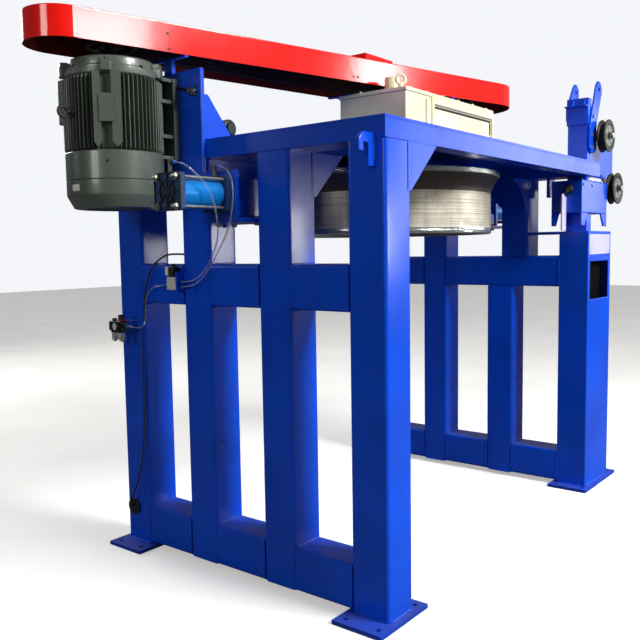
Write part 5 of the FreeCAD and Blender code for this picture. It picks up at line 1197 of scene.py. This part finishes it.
# ---------------------------------------------------------------- stage
def build_stage(sizes):
    """A pale floor, a broad key light high on the front right, small lights that the enamel reflects, fills
    on the left and at the back, and the camera."""
    scene = bpy.context.scene
    mesh = bpy.data.meshes.new("studio_floor")
    reach = 30.0
    mesh.from_pydata([(-reach, -reach, 0), (reach, -reach, 0), (reach, reach, 0), (-reach, reach, 0)], [],
        [(0, 1, 2, 3)])
    floor = bpy.data.objects.new("studio_floor", mesh)
    scene.collection.objects.link(floor)
    material = bpy.data.materials.new("pale_sealed_concrete")
    material.use_nodes = True
    tree = material.node_tree
    tree.nodes.clear()
    where = add(tree, "TexCoord").outputs["Object"]
    cloud = add(tree, "TexNoise", {"Vector": where, "Scale": 1.2, "Detail": 4.0}).outputs["Fac"]
    tint = add(tree, "ValToRGB", {"Fac": cloud}, stops=((0.3, linear("#E6E5E2")), (0.7, linear("#DEDDDA"))))
    seen = add(tree, "LightPath").outputs["Is Camera Ray"]
    shade = add(tree, "Mix", {0: seen, 6: linear("#626262"), 7: tint.outputs["Color"]},
        data_type="RGBA").outputs[2]
    lift = add(tree, "Math", {0: seen, 1: 0.52}, operation="MULTIPLY").outputs[0]
    base = add(tree, "BsdfPrincipled", {"Base Color": shade, "Roughness": 0.75, "Specular IOR Level": 0.2,
                                        "Emission Color": tint.outputs["Color"], "Emission Strength": lift})
    add(tree, "OutputMaterial", {"Surface": base.outputs[0]})
    mesh.materials.append(material)
    world = bpy.data.worlds.new("studio")
    scene.world = world
    world.use_nodes = True
    tree = world.node_tree
    tree.nodes.clear()
    facing = add(tree, "TexCoord").outputs["Generated"]
    along = add(tree, "VectorMath", {0: facing, 1: (0.72, -0.60, 0.35)},
        operation="DOT_PRODUCT").outputs["Value"]
    level = add(tree, "MapRange",
        {"Value": along, "From Min": 0.0, "From Max": 0.95, "To Min": 0.08,
        "To Max": 0.34}).outputs["Result"]
    seen = add(tree, "LightPath").outputs["Is Camera Ray"]
    power = add(tree, "Mix", {0: seen, 2: level, 3: 1.0}, data_type="FLOAT").outputs[0]
    sky = add(tree, "Background", {"Color": linear("#F4F6FA"), "Strength": power})
    add(tree, "OutputWorld", {"Surface": sky.outputs[0]})
    for name, place, target, size, energy in (
        ("key_softbox", (1.7, -7.1, 6.7), (1.0, 0.0, 1.2), (3.0, 1.8), sizes.key),
        ("guard_glare", (0.62, -6.8, 4.7), (-0.3, 1.1, 2.7), (1.5, 1.1), sizes.key * 0.085),
        ("guard_glare_far", (5.3, -6.9, 4.7), (0.9, 1.0, 2.7), (0.8, 0.9), sizes.key * 0.042),
        ("post_glare", (4.85, -4.1, 1.85), (0.0, 0.95, 1.75), (0.9, 0.7), sizes.key * 0.04),
        ("front_glare", (8.4, -3.6, 2.9), (1.2, -0.1, 1.9), (3.1, 1.8), sizes.key * 0.045),
        ("deck_glare", (-5.5, 6.9, 3.6), (-0.1, 1.0, 2.2), (1.2, 1.0), sizes.key * 0.012),
        ("left_fill", (-8.0, 0.6, 3.8), (0.0, 0.9, 1.8), (2.4, 2.8), sizes.key * 0.13),
        ("back_fill", (1.0, 9.5, 5.5), (1.2, 0.8, 1.4), (4.0, 3.0), sizes.key * 0.3),
    ):
        light = bpy.data.lights.new(name, "AREA")
        light.shape = "RECTANGLE"
        light.size, light.size_y = size
        light.energy = energy
        obj = bpy.data.objects.new(name, light)
        obj.location = place
        obj.rotation_euler = (Vector(target) - Vector(place)).to_track_quat("-Z", "Y").to_euler()
        obj.visible_camera = False
        scene.collection.objects.link(obj)
    yaw, pitch, roll = (math.radians(a) for a in (51.6, -5.2, -0.9))
    look = Vector((math.cos(pitch) * math.sin(yaw), math.cos(pitch) * math.cos(yaw), math.sin(pitch)))
    right = look.cross(Vector((0, 0, 1))).normalized()
    up = right.cross(look)
    lean_right = math.cos(roll) * right + math.sin(roll) * up
    lean_up = -math.sin(roll) * right + math.cos(roll) * up
    turn = Matrix((lean_right, lean_up, -look)).transposed()
    lens = bpy.data.cameras.new("camera")
    lens.sensor_width = 36.0
    lens.lens = 43.464
    lens.clip_end = 100.0
    camera = bpy.data.objects.new("camera", lens)
    camera.location = (-2.8218, -1.8980, 1.6625)
    camera.rotation_euler = turn.to_euler()
    scene.collection.objects.link(camera)
    scene.camera = camera
    scene.view_settings.view_transform = "Standard"
    scene.view_settings.look = "None"
    scene.view_settings.exposure = sizes.exposure
    scene.cycles.use_denoising = True


# ---------------------------------------------------------------- add-on
CORDS = (
    ("air_tube_rear", 0.008, "medium"),
    ("air_tube_front", 0.008, "medium"),
    ("air_tube_supply", 0.008, "limp"),
    ("power_cable", 0.010, "medium"),
)


class MachineSizes(bpy.types.PropertyGroup):
    """Sizes and levels that a user would change."""

    corner: bpy.props.FloatProperty(
        name="Section corner",
        description="Corner radius of the rolled box section",
        default=0.022,
        min=0.001,
        unit="LENGTH",
    )
    fins: bpy.props.IntProperty(
        name="Motor fins", description="Number of cooling fins round the motor", default=66, min=12
    )
    key: bpy.props.FloatProperty(
        name="Key light", description="Power of the key light", default=1100.0, min=0.0, unit="POWER"
    )
    exposure: bpy.props.FloatProperty(name="Exposure", description="Exposure of the picture, in stops",
        default=0.0)


def paint(name, description, code):
    """A colour property whose default is an sRGB hex value turned to linear."""
    return bpy.props.FloatVectorProperty(name=name, description=description, subtype="COLOR", size=3,
        min=0.0, max=1.0, default=linear(code)[:3])


class MachineColours(bpy.types.PropertyGroup):
    """Colours that a user would change; each has the key of its finish."""

    blue: paint("Frame enamel", "Colour of the rolled posts and rails", "#004EDC")
    blue_plate: paint("Plate enamel", "Colour of the deck, gussets, brackets and die box", "#044CD8")
    red: paint("Guard enamel", "Colour of the belt guard", "#F0140A")
    cream: paint("Gearbox enamel", "Colour of the gearbox case and lid", "#E9E3BC")
    motor: paint("Motor enamel", "Colour of the motor's castings and cowl", "#5A6258")
    barrel: paint("Cylinder tube", "Colour of both anodised cylinder barrels", "#1191E6")


class MACHINE_OT_finishes(bpy.types.Operator):
    """Makes every paint, metal, rubber and plastic finish"""

    bl_idname = "machine.finishes"
    bl_label = "Finishes"

    def execute(self, context):
        colours = context.scene.machine_colours
        for key, name, slot, code, shade, rest in TABLE:
            chosen = [*getattr(colours, key), 1.0] if hasattr(colours, key) else linear(code)
            finish(key, name, slot, chosen, shade, **rest)
        return {"FINISHED"}


class MACHINE_OT_side_frames(bpy.types.Operator):
    """Rolled box posts, rails, the front leg and the foot plates"""

    bl_idname = "machine.side_frames"
    bl_label = "Side frames"

    def execute(self, context):
        sizes = context.scene.machine_sizes
        build_side_frames(sizes)
        return {"FINISHED"}


class MACHINE_OT_deck(bpy.types.Operator):
    """The deck's plates, beams, gussets and lifting hooks"""

    bl_idname = "machine.deck"
    bl_label = "Deck"

    def execute(self, context):
        build_deck()
        return {"FINISHED"}


class MACHINE_OT_drum(bpy.types.Operator):
    """The turned drum with its ribs and shaft"""

    bl_idname = "machine.drum"
    bl_label = "Drum"

    def execute(self, context):
        build_drum()
        return {"FINISHED"}


class MACHINE_OT_gearbox(bpy.types.Operator):
    """The cast case and lid with their bolts and gasket"""

    bl_idname = "machine.gearbox"
    bl_label = "Gearbox"

    def execute(self, context):
        build_gearbox()
        return {"FINISHED"}


class MACHINE_OT_guard(bpy.types.Operator):
    """The red guard with its lining, seam and fixings"""

    bl_idname = "machine.guard"
    bl_label = "Belt guard"

    def execute(self, context):
        build_guard()
        return {"FINISHED"}


class MACHINE_OT_drive(bpy.types.Operator):
    """Both grooved pulleys and the loop of belts"""

    bl_idname = "machine.drive"
    bl_label = "Belt drive"

    def execute(self, context):
        build_drive()
        return {"FINISHED"}


class MACHINE_OT_motor(bpy.types.Operator):
    """The finned motor, its cowl, feet, lugs and fixings"""

    bl_idname = "machine.motor"
    bl_label = "Motor"

    def execute(self, context):
        sizes = context.scene.machine_sizes
        build_motor(sizes)
        return {"FINISHED"}


class MACHINE_OT_presses(bpy.types.Operator):
    """Both air cylinders with their brackets, forks and rollers"""

    bl_idname = "machine.presses"
    bl_label = "Press rollers"

    def execute(self, context):
        build_press("near")
        build_press("far")
        return {"FINISHED"}


class MACHINE_OT_die_box(bpy.types.Operator):
    """The die box, its holder, clamp and screw"""

    bl_idname = "machine.die_box"
    bl_label = "Die box"

    def execute(self, context):
        build_die_box()
        return {"FINISHED"}


class MACHINE_OT_guide(bpy.types.Operator):
    """The column, wheel plate and both grooved wheels"""

    bl_idname = "machine.guide"
    bl_label = "Wire guide"

    def execute(self, context):
        build_guide()
        return {"FINISHED"}


class MACHINE_OT_air(bpy.types.Operator):
    """The valve, filter set, fittings and the deck pump"""

    bl_idname = "machine.air"
    bl_label = "Air set and pump"

    def execute(self, context):
        build_air()
        return {"FINISHED"}


class MACHINE_OT_cords(bpy.types.Operator):
    """The three air tubes and the power cable"""

    bl_idname = "machine.cords"
    bl_label = "Tubes and cable"

    def execute(self, context):
        for name, diameter, stiffness in CORDS:
            build_cord(name, diameter)
        return {"FINISHED"}


class MACHINE_OT_stage(bpy.types.Operator):
    """The floor, the lights and the camera"""

    bl_idname = "machine.stage"
    bl_label = "Stage"

    def execute(self, context):
        sizes = context.scene.machine_sizes
        build_stage(sizes)
        return {"FINISHED"}


OPERATORS = (
    MACHINE_OT_finishes,
    MACHINE_OT_side_frames,
    MACHINE_OT_deck,
    MACHINE_OT_drum,
    MACHINE_OT_gearbox,
    MACHINE_OT_guard,
    MACHINE_OT_drive,
    MACHINE_OT_motor,
    MACHINE_OT_presses,
    MACHINE_OT_die_box,
    MACHINE_OT_guide,
    MACHINE_OT_air,
    MACHINE_OT_cords,
    MACHINE_OT_stage,
)


class MACHINE_PT_pieces(bpy.types.Panel):
    """Lists the machine's sizes, colours and pieces"""

    bl_idname = "MACHINE_PT_pieces"
    bl_label = "Wire Drawing Machine"
    bl_space_type = "VIEW_3D"
    bl_region_type = "UI"
    bl_category = "Machine"

    def draw(self, context):
        for group in (context.scene.machine_sizes, context.scene.machine_colours):
            for name in group.__annotations__:
                self.layout.prop(group, name)
        for operator in OPERATORS:
            self.layout.operator(operator.bl_idname)


CLASSES = (MachineSizes, MachineColours, *OPERATORS, MACHINE_PT_pieces)


def register():
    for kind in CLASSES:
        bpy.utils.register_class(kind)
    bpy.types.Scene.machine_sizes = bpy.props.PointerProperty(type=MachineSizes)
    bpy.types.Scene.machine_colours = bpy.props.PointerProperty(type=MachineColours)


def unregister():
    del bpy.types.Scene.machine_colours
    del bpy.types.Scene.machine_sizes
    for kind in reversed(CLASSES):
        bpy.utils.unregister_class(kind)


def main():
    register()
    for operator in OPERATORS:
        result = getattr(bpy.ops.machine, operator.bl_idname.split(".")[1])()
        if result != {"FINISHED"}:
            raise RuntimeError(operator.bl_label + " did not finish")


if __name__ == "__main__":
    main()
